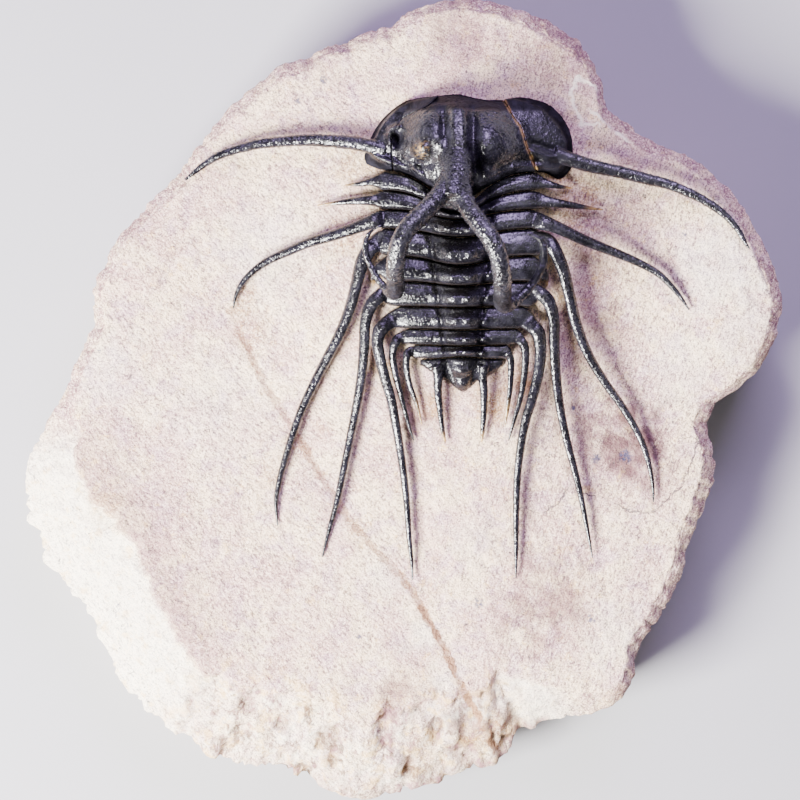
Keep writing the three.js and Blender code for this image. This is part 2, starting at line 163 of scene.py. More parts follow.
def curve(points, count, place=3, closed=False):
    """Points evenly spaced along a smooth curve through the given ones. The first columns give
    the place and the rest are carried along."""
    p = np.array(points, float)
    if closed:
        p = np.vstack([p[-1:], p, p[:2]])
    else:
        p = np.vstack([2 * p[0] - p[1], p, 2 * p[-1] - p[-2]])
    knots = np.cumsum([0, *np.linalg.norm(np.diff(p[:, :place], axis=0), axis=1) ** 0.5])
    fine = []
    for i in range(len(p) - 3):
        k = knots[i : i + 4]
        t = np.linspace(k[1], k[2], 24, endpoint=False)[:, None]

        def between(a, b, m, n):
            return ((k[n] - t) * a + (t - k[m]) * b) / (k[n] - k[m])

        line = [between(p[i + j], p[i + j + 1], j, j + 1) for j in range(3)]
        bow = [between(line[j], line[j + 1], j, j + 2) for j in range(2)]
        fine.append(between(bow[0], bow[1], 1, 2))
    fine = np.vstack([*fine, p[-2:-1]])
    walked = np.cumsum([0, *np.linalg.norm(np.diff(fine[:, :place], axis=0), axis=1)])
    at = np.linspace(0, walked[-1], count, endpoint=not closed)
    return np.stack([np.interp(at, walked, column) for column in fine.T], 1)


def unit(v):
    return v / np.maximum(np.linalg.norm(v, axis=-1, keepdims=True), 1e-12)


def ring_skin(rings):
    """Vertices and faces of a closed skin over a row of rings, with a point at each end."""
    points = np.vstack([rings.reshape(-1, 3), rings[0].mean(0), rings[-1].mean(0)])
    at = np.arange(len(points) - 2).reshape(rings.shape[:2])
    after = np.roll(at, -1, axis=1)
    quads = np.stack([at[:-1], after[:-1], after[1:], at[1:]], -1)
    first_cap = np.stack([after[0], at[0], np.full_like(at[0], at.size)], -1)
    last_cap = np.stack([at[-1], after[-1], np.full_like(at[0], at.size + 1)], -1)
    return points, [*quads.reshape(-1, 4).tolist(), *first_cap.tolist(), *last_cap.tolist()]


def ring_normals(rings):
    """Outward directions of a stack of rings, for moving its points in or out."""
    across = np.roll(rings, -1, axis=1) - np.roll(rings, 1, axis=1)
    along = np.gradient(rings, axis=0)
    return unit(np.cross(along, across))


def tube(points, radius, count, sides):
    """A round rod along a smooth curve; radius is a function of the way along it."""
    centre = curve(points, count)
    ahead = unit(np.gradient(centre, axis=0))
    side = np.cross(ahead[0], (0.0, 0.0, 1.0))
    turned = []
    for direction in ahead:
        side = side - direction * side.dot(direction)
        side = side / np.linalg.norm(side)
        turned.append(side)
    side = np.array(turned)[:, None]
    up = np.cross(side, ahead[:, None])
    angle = np.linspace(0, 2 * np.pi, sides, endpoint=False)[None, :, None]
    r = radius(np.linspace(0, 1, count))[:, None, None]
    return ring_skin(centre[:, None] + r * (np.cos(angle) * side + np.sin(angle) * up))


def grid_box(top, floor):
    """A closed skin between two grids of points of the same size, one over the other."""
    points = np.vstack([top.reshape(-1, 3), floor.reshape(-1, 3)])
    at = np.arange(len(points) // 2).reshape(top.shape[:2])
    quads = np.stack([at[:-1, :-1], at[1:, :-1], at[1:, 1:], at[:-1, 1:]], -1).reshape(-1, 4)
    below = quads[:, ::-1] + at.size
    rim = np.concatenate([at[0, :-1], at[:-1, -1], at[-1, :0:-1], at[:0:-1, 0]])
    after = np.roll(rim, -1)
    walls = np.stack([rim, after, after + at.size, rim + at.size], -1)
    return points, [*quads.tolist(), *below.tolist(), *walls.tolist()]


def joined(skins):
    """Several skins as one list of vertices and faces."""
    points, faces, start = [], [], 0
    for skin_points, skin_faces in skins:
        points.append(skin_points)
        faces += [[start + v for v in face] for face in skin_faces]
        start += len(skin_points)
    return np.vstack(points), faces


def volume(points, faces):
    """Six times the signed volume of a closed skin, to tell which way it faces."""
    corners = np.array([[f[0], f[k], f[k + 1]] for f in faces for k in range(1, len(f) - 1)])
    return np.linalg.det(points[corners]).sum()


def placed(name, data):
    """A new object of the scene that holds the given data."""
    item = bpy.data.objects.new(name, data)
    bpy.context.scene.collection.objects.link(item)
    return item


def new_object(name, skin):
    points, faces = skin
    if volume(points, faces) < 0:
        faces = [face[::-1] for face in faces]
    mesh = bpy.data.meshes.new(name)
    mesh.from_pydata(points.tolist(), [], faces)
    mesh.validate()
    mesh.update()
    return placed(name, mesh)


def fused(name, skins, voxel):
    """The skins grown together as one body, with their joins rounded over."""
    piece = new_object(name, joined(skins))
    remesh = piece.modifiers.new("grow_together", "REMESH")
    remesh.mode = "VOXEL"
    remesh.voxel_size = voxel
    soften = piece.modifiers.new("round_over", "SMOOTH")
    soften.factor = 0.5
    soften.iterations = 3
    made = bpy.data.meshes.new_from_object(
        piece.evaluated_get(bpy.context.evaluated_depsgraph_get())
    )
    piece.modifiers.clear()
    piece.data = made
    return piece


def read(piece, what="co"):
    """The places of a piece's vertices, or with "normal" the way that they face."""
    flat = np.empty(len(piece.data.vertices) * 3)
    piece.data.vertices.foreach_get(what, flat)
    return flat.reshape(-1, 3)


def move_points(piece, points):
    piece.data.vertices.foreach_set("co", points.ravel())
    piece.data.update()


def paint(piece, name, channels):
    """Stores up to three values for each vertex, for the material to read. What a list leaves
    out, such as the end points of a ring skin, gets 0."""
    values = np.zeros((len(piece.data.vertices), 4))
    values[:, 3] = 1
    for k, channel in enumerate(channels):
        values[: len(channel), k] = channel
    layer = piece.data.color_attributes.new(name, "FLOAT_COLOR", "POINT")
    layer.data.foreach_set("color", values.ravel())


def finish_piece(piece, node, material):
    """Scales a piece to metres, dresses it, and lets it stand for its CAD node."""
    move_points(piece, read(piece) * MM)
    piece.data.polygons.foreach_set("use_smooth", [True] * len(piece.data.polygons))
    piece.data.materials.clear()
    piece.data.materials.append(material)
    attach(piece, "root")
    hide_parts(node)


def signed_way(points, lines):
    """Distance in the plane to the nearest of several lines, with a sign for its side."""
    best = np.full(len(points), 1e9)
    for line in lines:
        for start, end in zip(np.array(line[:-1], float), np.array(line[1:], float)):
            reach, out = end - start, points[:, :2] - start
            t = np.clip((out @ reach) / (reach @ reach), 0, 1)
            away = np.linalg.norm(out - t[:, None] * reach, axis=1)
            side = np.where(out[:, 0] * reach[1] > out[:, 1] * reach[0], 1.0, -1.0)
            best = np.where(away < np.abs(best), away * side, best)
    return best


def way_from(points, line):
    """Distance in the plane from each point to a line, whichever side it is on."""
    return np.abs(signed_way(points, [line]))


# Heights shared by the rock and the animal


def midline(y):
    return MIDLINE["x"] + MIDLINE["lean"] * (y - MIDLINE["y"])


def swell(x, y, place):
    """1 at the middle of a round rise or dip of the slab, fading to 0 around it."""
    return bump((x - place["x"]) / place["radius"], (y - place["y"]) / place["radius"])


def slab_top(x, y):
    across = (x - MOUND["x"]) / MOUND["half_width"]
    ahead = (y - MOUND["y"]) / MOUND["half_length"]
    return (
        SLAB_THICKNESS
        + MOUND["height"] * np.exp(-((across**2 + ahead**2) ** 1.6))
        + EAST_RISE["height"] * swell(x, y, EAST_RISE)
        - EAST_DIP["depth"] * swell(x, y, EAST_DIP)
    )


# The rock

VEIN = [
    (-32.3, 16.7), (-26.3, 3.6), (-21, -4.9), (-10.7, -21.8), (-6, -27.4), (-0.4, -33.1),
    (1.7, -35.9), (7.1, -45.3), (11.5, -54.7), (14.7, -60.3), (17.9, -66.5),
]
CRACKS = [
    [(22.7, -20.5), (26.9, -21.4), (29.7, -19), (31, -17.1)],
    [(33.8, -17.7), (37.2, -18.4)],
    [(40.6, -19.9), (44.7, -21.3), (46.6, -21.6), (47.6, -20.9), (52.3, -16.7), (54.1, -13.3),
     (55.6, -7.7), (56.4, -2.1)],
]
PALE_VEINS = [
    [(36.1, 51.7), (33.8, 51.5), (33, 53.8), (32.2, 55.3), (32, 58.3), (33.1, 60.4), (35.2, 59.1),
     (36.5, 58.7), (37.3, 56.6)],
    [(35.8, 53.8), (38.5, 51.7), (40.9, 49.6), (43.1, 48.5), (46.9, 47.2)],
]
# Warm stains, which among the rear spines are partly painted shade: X, Y, radius and strength
STAINS_AND_SPINE_SHADE = [
    (-12, 30, 17, 0.2), (-28.5, 12.6, 5, 0.55), (-30, 17.5, 3, 0.7), (-29, 20, 2.2, 0.8),
    (33, 37.4, 6.5, 0.75), (29.5, 42.2, 4, 0.9), (30, 34, 3.5, 0.5), (-9.5, 42.5, 4.5, 0.7),
    (-5.2, 43.6, 2.6, 0.9), (-11, 28.5, 2.6, 0.7), (-9, 31, 2.2, 0.8), (-6, 8.5, 3, 0.5),
    (25.6, 6.5, 2.2, 0.5), (5.5, -1, 4.2, 0.85), (17, -1, 4.4, 0.85), (-3.5, 20, 2.6, 0.9),
    (29.4, 19, 2.2, 0.7), (13.8, -64, 5, 0.9), (18, -62, 3.5, 0.9), (3, -65, 5, 0.6),
    (-55.5, -19.5, 5, 0.45), (-25, -14, 3.4, 0.4), (-14.6, -6, 2.4, 0.6), (66, 10, 4, 0.3),
    (-2.5, 6, 3, 0.8), (22, 4, 3, 0.8), (50, -45, 4, 0.35),
    (42, -58, 4, 0.5), (-20, -9, 3, 0.5), (-8, -24, 3, 0.35), (5, -36, 3, 0.4),
    (-36, 40, 10, 0.12), (-42, 25, 9, 0.16), (40, 22, 9, 0.15), (30, -40, 9, 0.14),
]
# Dark mineral spots: X, Y and radius
SPOTS = [
    (-14.9, 60, 0.9), (-19.6, 55.8, 0.8), (-17.3, 54.3, 0.6), (41.9, -10.9, 1.3),
    (36.3, -11.1, 1.1), (32.3, -1.7, 0.7), (14.3, -38.4, 1.2), (35.7, -41.2, 1),
    (-29.6, -11, 0.5), (53, 31, 0.6), (-38.4, -25.2, 0.45), (-61.3, -5.5, 0.4),
    (-8.1, -44.7, 0.5), (-26.6, -39.2, 0.5), (-53.5, -39.2, 0.6), (-56.8, -37.2, 0.4),
    (-57, 9, 0.6), (-41, 26.7, 0.4),
]
# Brown hollows in the lower break: X, Y, half width and half height
HOLLOWS = [
    (-39.9, -57.2, 0.7, 1.7), (-34.2, -65.2, 1.6, 1.8), (-29, -57.2, 1.5, 2.3),
    (-30, -63, 1.6, 2), (-13.6, -65.6, 2.4, 3.6), (-2.6, -62, 1.8, 5.6), (-12.4, -62.6, 1, 1.1),
    (1.5, -69.4, 1.5, 2.2), (11, -66.5, 3.4, 1.4), (-20, -70.2, 3, 1), (20.6, -64.4, 2, 1.6),
    (-22.5, -61, 1.2, 1.4), (6.5, -62, 1.2, 2.2),
]

# Where the rock is a deeper purple-pink, partly its own tint and partly painted shade beside the
# spines and in the dips, and where it is paler: X, Y, radius and strength
MAUVE_AND_SHADE_PATCHES = [
    (41, -8, 11, 1.0), (37, 13, 9, 0.6), (44, 34, 9, 0.4), (41, 49, 9, 0.15), (30, 64, 11, 0.6),
    (11, 69, 11, 0.7), (-15, 64, 8, 0.45), (26, -38, 12, 0.8), (23, -20, 8, 0.4),
    (48, -15, 7, 0.5), (36, 27, 8, 0.5), (-48, 30, 7, 0.35), (8, -12, 7, 0.3), (30, -4, 7, 0.5),
    (-4, -12, 6, 0.3), (17, -27, 7, 0.3), (0, -52, 9, 0.3), (12, -60, 7, 0.8), (3.5, -4, 5, 0.8),
    (-1, 1, 4, 0.9), (24, 3, 4, 0.9), (-1, -55, 5, 0.7),
]
PALER_PATCHES = [
    (60, 25, 11, 0.9), (64, 12, 8, 0.6), (52, 6, 8, 0.5), (-24, 28, 13, 0.6), (-36, 0, 12, 0.4),
    (-56, 6, 8, 0.5), (14, -26, 6, 0.3), (40, -44, 7, 0.5), (-2, 22, 8, 0.4),
    (-3.5, -34, 4, 0.6), (3, -44, 4, 0.7), (8, -53, 4, 0.6),
]

WIDEST = np.array([71.45, 75.75])  # half the slab's greatest width and length
SECTORS = 620
TOP_RINGS = 96
BREAK_RINGS = 22
WALL_RINGS = 18
# Rings of the underside: steps inward, and height as a share of the foot's
SOLE_RINGS = [(0.5, 0.35), (1, 0), (1.6, 0), (4, 0), (12, 0), (30, 0)]
OUTER = 0.998  # share of the outline that the widest ring reaches


def bearing(x, y):
    """Degrees around the slab from 0 to 360, counted from +X towards +Y."""
    return (np.degrees(np.arctan2(y, x)) + 360) % 360


def break_share(angle):
    """1 along the wide lower break of the rim, and 0 elsewhere."""
    return smooth(BREAK["from"] - BREAK["fade"], BREAK["from"], angle) * (
        1 - smooth(BREAK["to"], BREAK["to"] + BREAK["fade"], angle)
    )


def rock_piece(material):
    """The slab: a carved top, a broken edge, rough walls and a flat sole."""
    rim = curve(SLAB_OUTLINE, SECTORS, place=2, closed=True)
    radius = np.linalg.norm(rim, axis=1)
    share = break_share(bearing(*rim.T))
    on_rim = np.column_stack([rim, np.zeros(SECTORS)])
    notch = (1 - np.minimum(1, 1.7 * np.abs(rough(on_rim, 5, 4, 6)))) ** 2
    rim = rim * (1 - mix(0.6, 1.1, share) * notch / radius)[:, None]
    radius = np.linalg.norm(rim, axis=1)
    width = mix(RIM["width"], BREAK["width"], share) * (1 + 0.22 * rough(on_rim, 16, 4, 5))
    drop = mix(RIM["drop"], BREAK["drop"], share)
    ledge = 1 - width / radius
    edge_level = slab_top(*(rim * ledge[:, None]).T) - drop

    rings = []

    def add_ring(scale, level=None):
        """A ring of the outline's form, level with the slab's top if no height is given."""
        flat = rim * scale[:, None]
        level = slab_top(*flat.T) if level is None else level
        rings.append(np.column_stack([flat, np.broadcast_to(level, SECTORS)]))

    for t in np.linspace(0.004, 1, TOP_RINGS) ** 0.9:
        add_ring(ledge * t)
    for t in np.linspace(0, 1, BREAK_RINGS + 1)[1:]:
        add_ring(mix(ledge, OUTER, t), edge_level + drop * (1 - 0.16 * t**0.15 - 0.84 * t**1.4))
    for t in np.linspace(0, 1, WALL_RINGS + 1)[1:]:
        add_ring(OUTER - FOOT["inset"] / radius * t, mix(edge_level, FOOT["level"], t))
    for step, level in SOLE_RINGS:
        inset = mix(FOOT["inset"], FOOT["sole_inset"], step)
        add_ring(np.maximum(0.02, OUTER - inset / radius), FOOT["level"] * level)
    rings = np.array(rings)

    broken = np.zeros(rings.shape[:2])
    start, stop = TOP_RINGS, TOP_RINGS + BREAK_RINGS
    broken[start:stop] = smooth(0, 0.12, np.linspace(0.04, 1, BREAK_RINGS))[:, None]
    broken[stop : stop + WALL_RINGS] = 1
    flat_sole = np.zeros(rings.shape[:2])
    flat_sole[stop + WALL_RINGS :] = 1

    outward = ring_normals(rings)
    if outward[TOP_RINGS // 2, :, 2].mean() < 0:
        outward = -outward
    carved = 0.26 * rough(rings, 11, 3, 1) + 0.2 * rough(rings, 2.4, 4, 2)
    wide_break = np.broadcast_to(share, broken.shape)
    angle = bearing(rings[..., 0], rings[..., 1])
    low_end = smooth(228, 240, angle) * smooth(296, 284, angle)
    lumps = 1.05 - 1.5 * seed_distance(rings / np.array([7.5, 5.5, 6.0]), 11) ** 2
    lumps -= 0.7 * seed_distance(rings / np.array([2.9, 2.2, 2.4]), 12)
    torn = rough(rings * (1, 0.38, 0.6), 2.4, 4, 15)
    chipped = mix(0.25, 0.4 + 0.1 * low_end, wide_break) * lumps
    chipped += mix(0.25, 0.5, wide_break) * rough(rings, 2.2, 4, 13) + 0.5 * low_end * torn
    shift = mix(carved, chipped, broken) * (1 - flat_sole)

    # The unprepared rock left of the vein stands a little proud, and the vein itself is a groove.
    flat = rings.reshape(-1, 3)
    away = way_from(flat, VEIN).reshape(shift.shape)
    vein_x = np.interp(-rings[..., 1], [-y for _, y in VEIN], [x for x, _ in VEIN])
    left = smooth(0.6, -0.6, rings[..., 0] - vein_x) * smooth(20, 8, rings[..., 1])
    on_top = 1 - np.maximum(broken, flat_sole)
    shift += on_top * (0.35 * left - 0.1 * bump(away / 0.6))

    # Ragged brown hollows of the lower break
    hollow = np.zeros(shift.shape)
    ragged_edge = 0.9 * rough(rings, 1.7, 4, 14)
    for x, y, wide, tall in HOLLOWS:
        reach = ((rings[..., 0] - x) / wide) ** 2 + ((rings[..., 1] - y) / tall) ** 2
        hollow = np.maximum(hollow, smooth(2.0, 0.9, reach + 1.6 * np.abs(torn) + ragged_edge))
    hollow = hollow * (1 - flat_sole)
    shift -= 0.7 * hollow
    outermost = np.zeros(rings.shape[:2])
    outermost[start:stop] = smooth(0.72, 1, np.linspace(0, 1, BREAK_RINGS))[:, None]
    outermost[stop : stop + WALL_RINGS] = 1
    under = mix(0.5, 1, smooth(266, 272, angle)) * smooth(244, 258, angle) * smooth(300, 290, angle)
    hollow = np.maximum(hollow, outermost * under * smooth(-0.9, 0.1, torn + ragged_edge))
    rings = rings + outward * shift[..., None]
    rings[..., 2] = np.maximum(rings[..., 2], 0)
    rings[..., :2] = np.clip(rings[..., :2], -WIDEST, WIDEST)

    piece = new_object("limestone_slab", ring_skin(rings))
    ragged = 0.5 * rough(flat, 3, 4, 21)

    def patches(places):
        total = np.zeros(len(flat))
        for x, y, size, strength in places:
            reach = np.linalg.norm(flat[:, :2] - (x, y), axis=1) / size
            total = np.maximum(total, strength * smooth(1.25, 0.1, reach + ragged))
        return total

    inside = np.linalg.norm(rings[..., :2], axis=-1) / (radius * ledge)
    strip = bump((1 - inside) / 0.2) * smooth(178, 192, angle) * smooth(244, 226, angle) * on_top
    fresh = broken * smooth(0.15, 0.6, wide_break)
    fresh = (fresh * (1 - 0.75 * low_end * smooth(-0.5, 0.5, ragged_edge + 0.3))).ravel()
    # Purple-pink patches, partly painted shade beside the spines and in the dips, with a faint tint
    # left of the vein and a strip along the left ledge
    mauve_and_shade = np.clip(patches(MAUVE_AND_SHADE_PATCHES) + (0.1 * left + 0.5 * strip).ravel(), 0, 1)
    rim_brown = (broken * (1 - wide_break)).ravel()
    fields = [signed_way(flat, lines) for lines in ([VEIN], CRACKS, PALE_VEINS)]
    top = on_top.ravel()
    vein_share = mix(0.6, 1, smooth(-25, -38, flat[:, 1])) * (1 - flat_sole).ravel()
    near = [smooth(1.3, 0.9, np.abs(field)) for field in fields]
    near = [value * weight for value, weight in zip(near, (vein_share, top, top))]
    low = (np.maximum(broken, bump((1 - inside) / 0.06) * on_top) * low_end).ravel()
    spot = np.full(len(flat), 3.0)
    for x, y, size in SPOTS:
        spot = np.minimum(spot, np.linalg.norm(flat[:, :2] - (x, y), axis=1) / size)
    stored = {
        "rock_tone": [fresh, patches(STAINS_AND_SPINE_SHADE), mauve_and_shade],
        "rock_marks": [hollow.ravel(), rim_brown, patches(PALER_PATCHES) * top],
        "rock_lines": [np.clip(field, -2, 2) for field in fields],
        "rock_near": near,
        "rock_spots": [spot, low],
    }
    for name, channels in stored.items():
        paint(piece, name, channels)
    finish_piece(piece, "limestone_matrix", material)


# The thorax

JOINTS = [
    (42.6, 36.2), (39.1, 34.9), (35.5, 33.6), (31.9, 30.2), (26.8, 24.9), (22.0, 21.1),
    (17.3, 17.1), (13.1, 12.9), (10.1, 9.9), (7.5, 7.9),
]


def axis_half_width(y):
    return 3 + 0.105 * np.clip((y - 8) / 24, 0, 1) * 24


def axis_height(y):
    return 4.2 + 3.8 * smooth(2, 26, y)


def rib_height(y):
    return 0.46 * axis_height(y)


def joint_y(joint, offset):
    side, axis = joint
    return mix(side, axis, bump(offset / (axis_half_width(side) * 1.25)))


def back_height(x, y, half_width):
    offset = np.abs(x - midline(y))
    axis = axis_half_width(y)
    rib = rib_height(y)
    arch = rib + (axis_height(y) - rib) * np.maximum(0, 1 - (offset / axis) ** 2) ** 0.6
    out = np.clip((offset - axis) / (half_width - axis), 0, 1.3)
    return np.where(offset < axis, arch, rib * (1 - 0.34 * out**3))


def sunk(lift, t):
    """Height of a free spine's middle above the slab, from its root down to its tip."""
    return mix(lift, 0.75, t**1.3)


def taper(root):
    """Radius along a spine, from its root to a rounded tip."""
    return lambda t: root * (1 - 0.7 * t) * (1 - t**14) + 0.12


# Each segment: half width over the ribs, spine radius, height of the spine's root above the slab,
# and the routes of its left and right spine in X and Y
SEGMENTS = [
    (15.2, 0.55, 2.2,
     [(-5.6, 40.7), (-8, 40.3), (-10.7, 40.1)],
     [(27, 40.3), (29.5, 39.8), (32, 39.5)]),
    (15.2, 0.75, 2.4,
     [(-5.4, 37.2), (-9.8, 37), (-15.9, 36.3)],
     [(27.3, 36.9), (33, 36.1), (37.7, 35.5)]),
    (14.6, 1.15, 3.6,
     [(-4.2, 33.6), (-6.6, 32.8), (-9.8, 31.6), (-13.6, 30.4), (-17.4, 29.3), (-21.2, 27.7),
      (-25, 26), (-27.8, 24.1), (-30.1, 21.7), (-31.3, 19.2), (-31.7, 17)],
     [(25.4, 33.3), (28.2, 32.4), (31.1, 31.1), (33.9, 29.8), (37.7, 28.3), (41.5, 26.8),
      (45.3, 25.1), (48.2, 23.4), (50.6, 21.1), (52.5, 18.8), (53.9, 16.7)]),
    (15.6, 1.15, 3,
     [(-5.4, 28.7), (-7.3, 26), (-8.5, 21.7), (-9.8, 16.9), (-11.7, 12.2), (-14, 7.8),
      (-16.4, 3.2), (-18.9, -2.1), (-20.6, -6.8), (-22.1, -11.6), (-23.1, -15.4),
      (-23.7, -19.2), (-23.4, -23.8)],
     [(27.3, 29.4), (29.9, 24.9), (31.3, 19.6), (32.6, 14.3), (34.9, 8.4), (37.9, 3.4),
      (41.1, -1.1), (43.8, -5.5), (45.6, -9.5), (46.7, -13.7), (47.2, -17.3), (47.2, -19.4)]),
    (14.8, 0.9, 1.6,
     [(-4.6, 24), (-5.3, 22.6), (-5.4, 21.2)],
     [(26, 24), (26.9, 22.6), (27.1, 21.2)]),
    (14, 1.05, 2.8,
     [(-3.9, 19.4), (-5.9, 17.4), (-6.9, 14.2), (-7.1, 10.1), (-7.6, 4.6), (-8.6, -1.5),
      (-9.8, -7.4), (-11, -13.2), (-12.3, -19.4), (-13.7, -24.5), (-15, -29.7)],
     [(25.1, 20.1), (27.3, 18.4), (28.4, 15), (28.5, 11), (28.8, 5.2), (29.6, -1.5),
      (30.8, -7.3), (32.2, -12.7), (33.5, -18), (34.6, -23.5), (35.8, -29.8)]),
    (12.4, 1.05, 3,
     [(-2.6, 14.3), (-4.1, 12.9), (-4.6, 10.6), (-4.2, 7.9), (-3.2, 3.8), (-2.1, 0),
      (-1.2, -4.7), (-0.4, -9.5), (0.3, -14.4), (0.9, -20.1), (1.3, -25.8), (1.8, -30.6),
      (2, -34)],
     [(24.2, 13.9), (25.4, 12.4), (25.9, 9.6), (25.6, 5.2), (24.3, -0.2), (23.2, -3.8),
      (22.2, -9.1), (21.6, -15), (21.4, -21.7), (21.4, -28.4), (21.4, -33.7)]),
    (11, 0.7, 2.4,
     [(-0.7, 11.2), (-1.5, 10.1), (-1.8, 8.3), (-1.6, 6.3), (-0.8, 2.7), (0.2, -1.1),
      (1.2, -4.9), (2.2, -7.8)],
     [(22, 11.2), (22.8, 10.1), (23.1, 8.2), (22.9, 4.6), (22.1, -0.2), (21, -4), (20, -7.8)]),
    (9.2, 0.62, 2.3,
     [(1.3, 8.8), (0.8, 7.7), (0.8, 5.9), (1.4, 2.7), (2.6, -0.6), (3.7, -4.8)],
     [(19.7, 8.8), (20.3, 7.6), (20.4, 5.5), (20.2, 1.7), (19.7, -2.1), (19.4, -4.8)]),
]
RIB_STATIONS = [0.12, 0.4, 0.7, 0.9]  # shares of the way from the axis to the rib's end
AXIS_STATIONS = [-1, -0.66, -0.33, 0, 0.33, 0.66, 1]  # shares of the axis's half width
PLAY = 0.1  # mm left at each edge of a plate, so that neighbours stay apart
SHORT_SPINE = 16  # mm; a spine shorter than this has a golden tip
BAND_TOP, BAND_FLOOR = 30, 12  # points across the top and the underside of a segment


def spine_stations(route, radius, lift):
    """Rows of X, Y, half width, height above the slab, share of band, way along the spine."""
    flat = np.array(route, float)
    walked = np.cumsum([0, *np.linalg.norm(np.diff(flat, axis=0), axis=1)])
    t = walked / walked[-1]
    wide = taper(radius)(t) * (1 + 0.25 * (1 - smooth(0, 0.12, t)))
    high = sunk(lift, t)
    band = np.where(t == 0, 0.45, 0.0)
    return np.column_stack([flat, wide, high, band, t]), walked[-1]


def band_row(front, rear, offset, place_at):
    """A row of the band between two joints; place_at gives X and height for a Y."""
    ahead, behind = joint_y(front, offset), joint_y(rear, offset)
    y = (ahead + behind) / 2
    x, high = place_at(y)
    return [x, y, (ahead - behind) / 2 - PLAY, high, 1.0, 0.0]


def rib_stations(front, rear, half_width, radius, side):
    rows = []
    for share in RIB_STATIONS:
        middle = (front[0] + rear[0]) / 2
        offset = mix(axis_half_width(middle), half_width, share)
        x = midline(middle) + side * offset
        rows.append(band_row(
            front, rear, offset, lambda y: (x, back_height(x, y, half_width) - radius)
        ))
    return rows


def axis_stations(front, rear):
    rows = []
    for share in AXIS_STATIONS:
        offset = share * axis_half_width((front[0] + rear[0]) / 2)
        rows.append(band_row(front, rear, offset, lambda y: (midline(y) + offset, 2.0)))
    return rows


def segment_piece(index, material):
    """One thorax segment in one skin: spine, rib, axial ring, rib, spine."""
    half_width, radius, lift, left_route, right_route = SEGMENTS[index]
    front, rear = JOINTS[index], JOINTS[index + 1]
    left, left_length = spine_stations(left_route, radius, lift)
    right, right_length = spine_stations(right_route, radius, lift)
    stations = np.vstack([
        left[::-1],
        rib_stations(front, rear, half_width, radius, -1)[::-1],
        axis_stations(front, rear),
        rib_stations(front, rear, half_width, radius, 1),
        right,
    ])
    length = left_length + right_length + 2 * half_width
    rows = curve(stations, int(length / 0.22), place=2)
    x, y, wide, high, band, along = rows.T
    wide = np.maximum(wide, 0.1)
    band = smooth(0, 1, np.clip(band, 0, 1))
    ahead = unit(np.gradient(rows[:, :2], axis=0))
    rearward = np.column_stack([ahead[:, 1], -ahead[:, 0]])

    u_top = -np.cos(np.pi * np.linspace(0, 1, BAND_TOP))
    u_floor = np.cos(np.pi * np.linspace(0, 1, BAND_FLOOR))[1:-1]
    u = np.concatenate([u_top, u_floor])[None, :]
    over = np.concatenate([np.ones(BAND_TOP), np.zeros(BAND_FLOOR - 2)])[None, :]
    px = x[:, None] + rearward[:, :1] * wide[:, None] * u
    py = y[:, None] + rearward[:, 1:] * wide[:, None] * u
    ground = slab_top(px, py)

    # A rib is a low streaked plate with a thin rim along its rear edge. An axial ring rises towards
    # its rear, and a furrow parts it from the ribs.
    offset = np.abs(px - midline(py))
    from_axis = offset / axis_half_width(py)
    axial = smooth(1.0, 0.86, from_axis)
    shape = mix(mix(0.86, 0.7, axial), 1.0, smooth(-0.7, 0.1, u))
    shape = shape - 0.05 * bump((u - 0.8) / 0.07)
    crisp = (1 - np.abs(u) ** 9) ** 0.5
    roof = back_height(px, py, half_width) * shape * crisp + 0.2
    roof = roof - 0.6 * bump((from_axis - 1.03) / 0.14) * crisp
    boss = plump((offset - 1.05 * axis_half_width(py)) / 1.15, (u - 0.25) / 0.5)
    knob = plump((offset - 0.42 * axis_half_width(py)) / 1.0, (u - 0.3) / 0.45)
    flat = np.stack([px, py, 0 * px], -1)
    streaks = rough(flat / (3.2, 1, 1), 0.55, 2, 33)
    roof = roof + 0.95 * boss + 0.55 * knob + 0.06 * streaks * (1 - axial)
    roof = roof + 0.16 * rough(flat, 0.8, 2, 34) * axial
    around = np.sqrt(np.maximum(0, 1 - u**2))
    tall = np.minimum(wide, radius * 1.15)[:, None]
    high = high[:, None]
    share = band[:, None]
    top = mix(high + tall * around, roof, share)
    floor = mix(high - tall * around, 0.1, share)
    pz = ground + np.where(over > 0, np.maximum(top, floor + 0.02), floor)
    rings = np.stack([px, py, pz], -1)

    fine = granules(rings, 0.62, 31) * over
    strength = mix(0.09, 0.1 * axial, share) * smooth(0.25, 0.6, wide)[:, None]
    rings[..., 2] += fine * strength * (crisp * share + (1 - share))

    piece = new_object(f"segment_{index + 1}", ring_skin(rings))
    # A painted highlight along each rib's rear rim: paler ash and a trace of gold
    rim_highlight_line = share * over * bump((u - 0.93) / 0.06) * smooth(0.3, 0.6, np.abs(u))
    short = np.where(x < midline(y), left_length, right_length) < SHORT_SPINE
    tip = 0.8 * smooth(0.6, 0.97, along) * short * (1 - band)
    gold = np.maximum(0.03 * rim_highlight_line, tip[:, None] * np.ones_like(u)).ravel()
    pale = np.maximum(fine * mix(1, 0.8 * axial, share), rim_highlight_line).ravel()
    paint(piece, "shell_tone", [gold, pale])
    finish_piece(piece, f"thorax_segment_{index + 1}", material)


# The tail shield

TAIL_HALF_WIDTH = 7.9
TAIL_SPINES = [
    [(6.4, 6.3), (6.7, 4), (6.7, 1.3), (7.1, -2.1), (7.5, -5.3), (8.1, -8.4)],
    [(15.3, 6.3), (15.1, 4), (15.3, 1.3), (15.3, -2.1), (15.1, -5.3), (14.9, -8.2)],
]


def over_slab(route, lift):
    """The places of a free spine that starts at lift above the slab."""
    t = np.linspace(0, 1, len(route))
    return [(x, y, slab_top(x, y) + sunk(lift, s)) for (x, y), s in zip(route, t)]


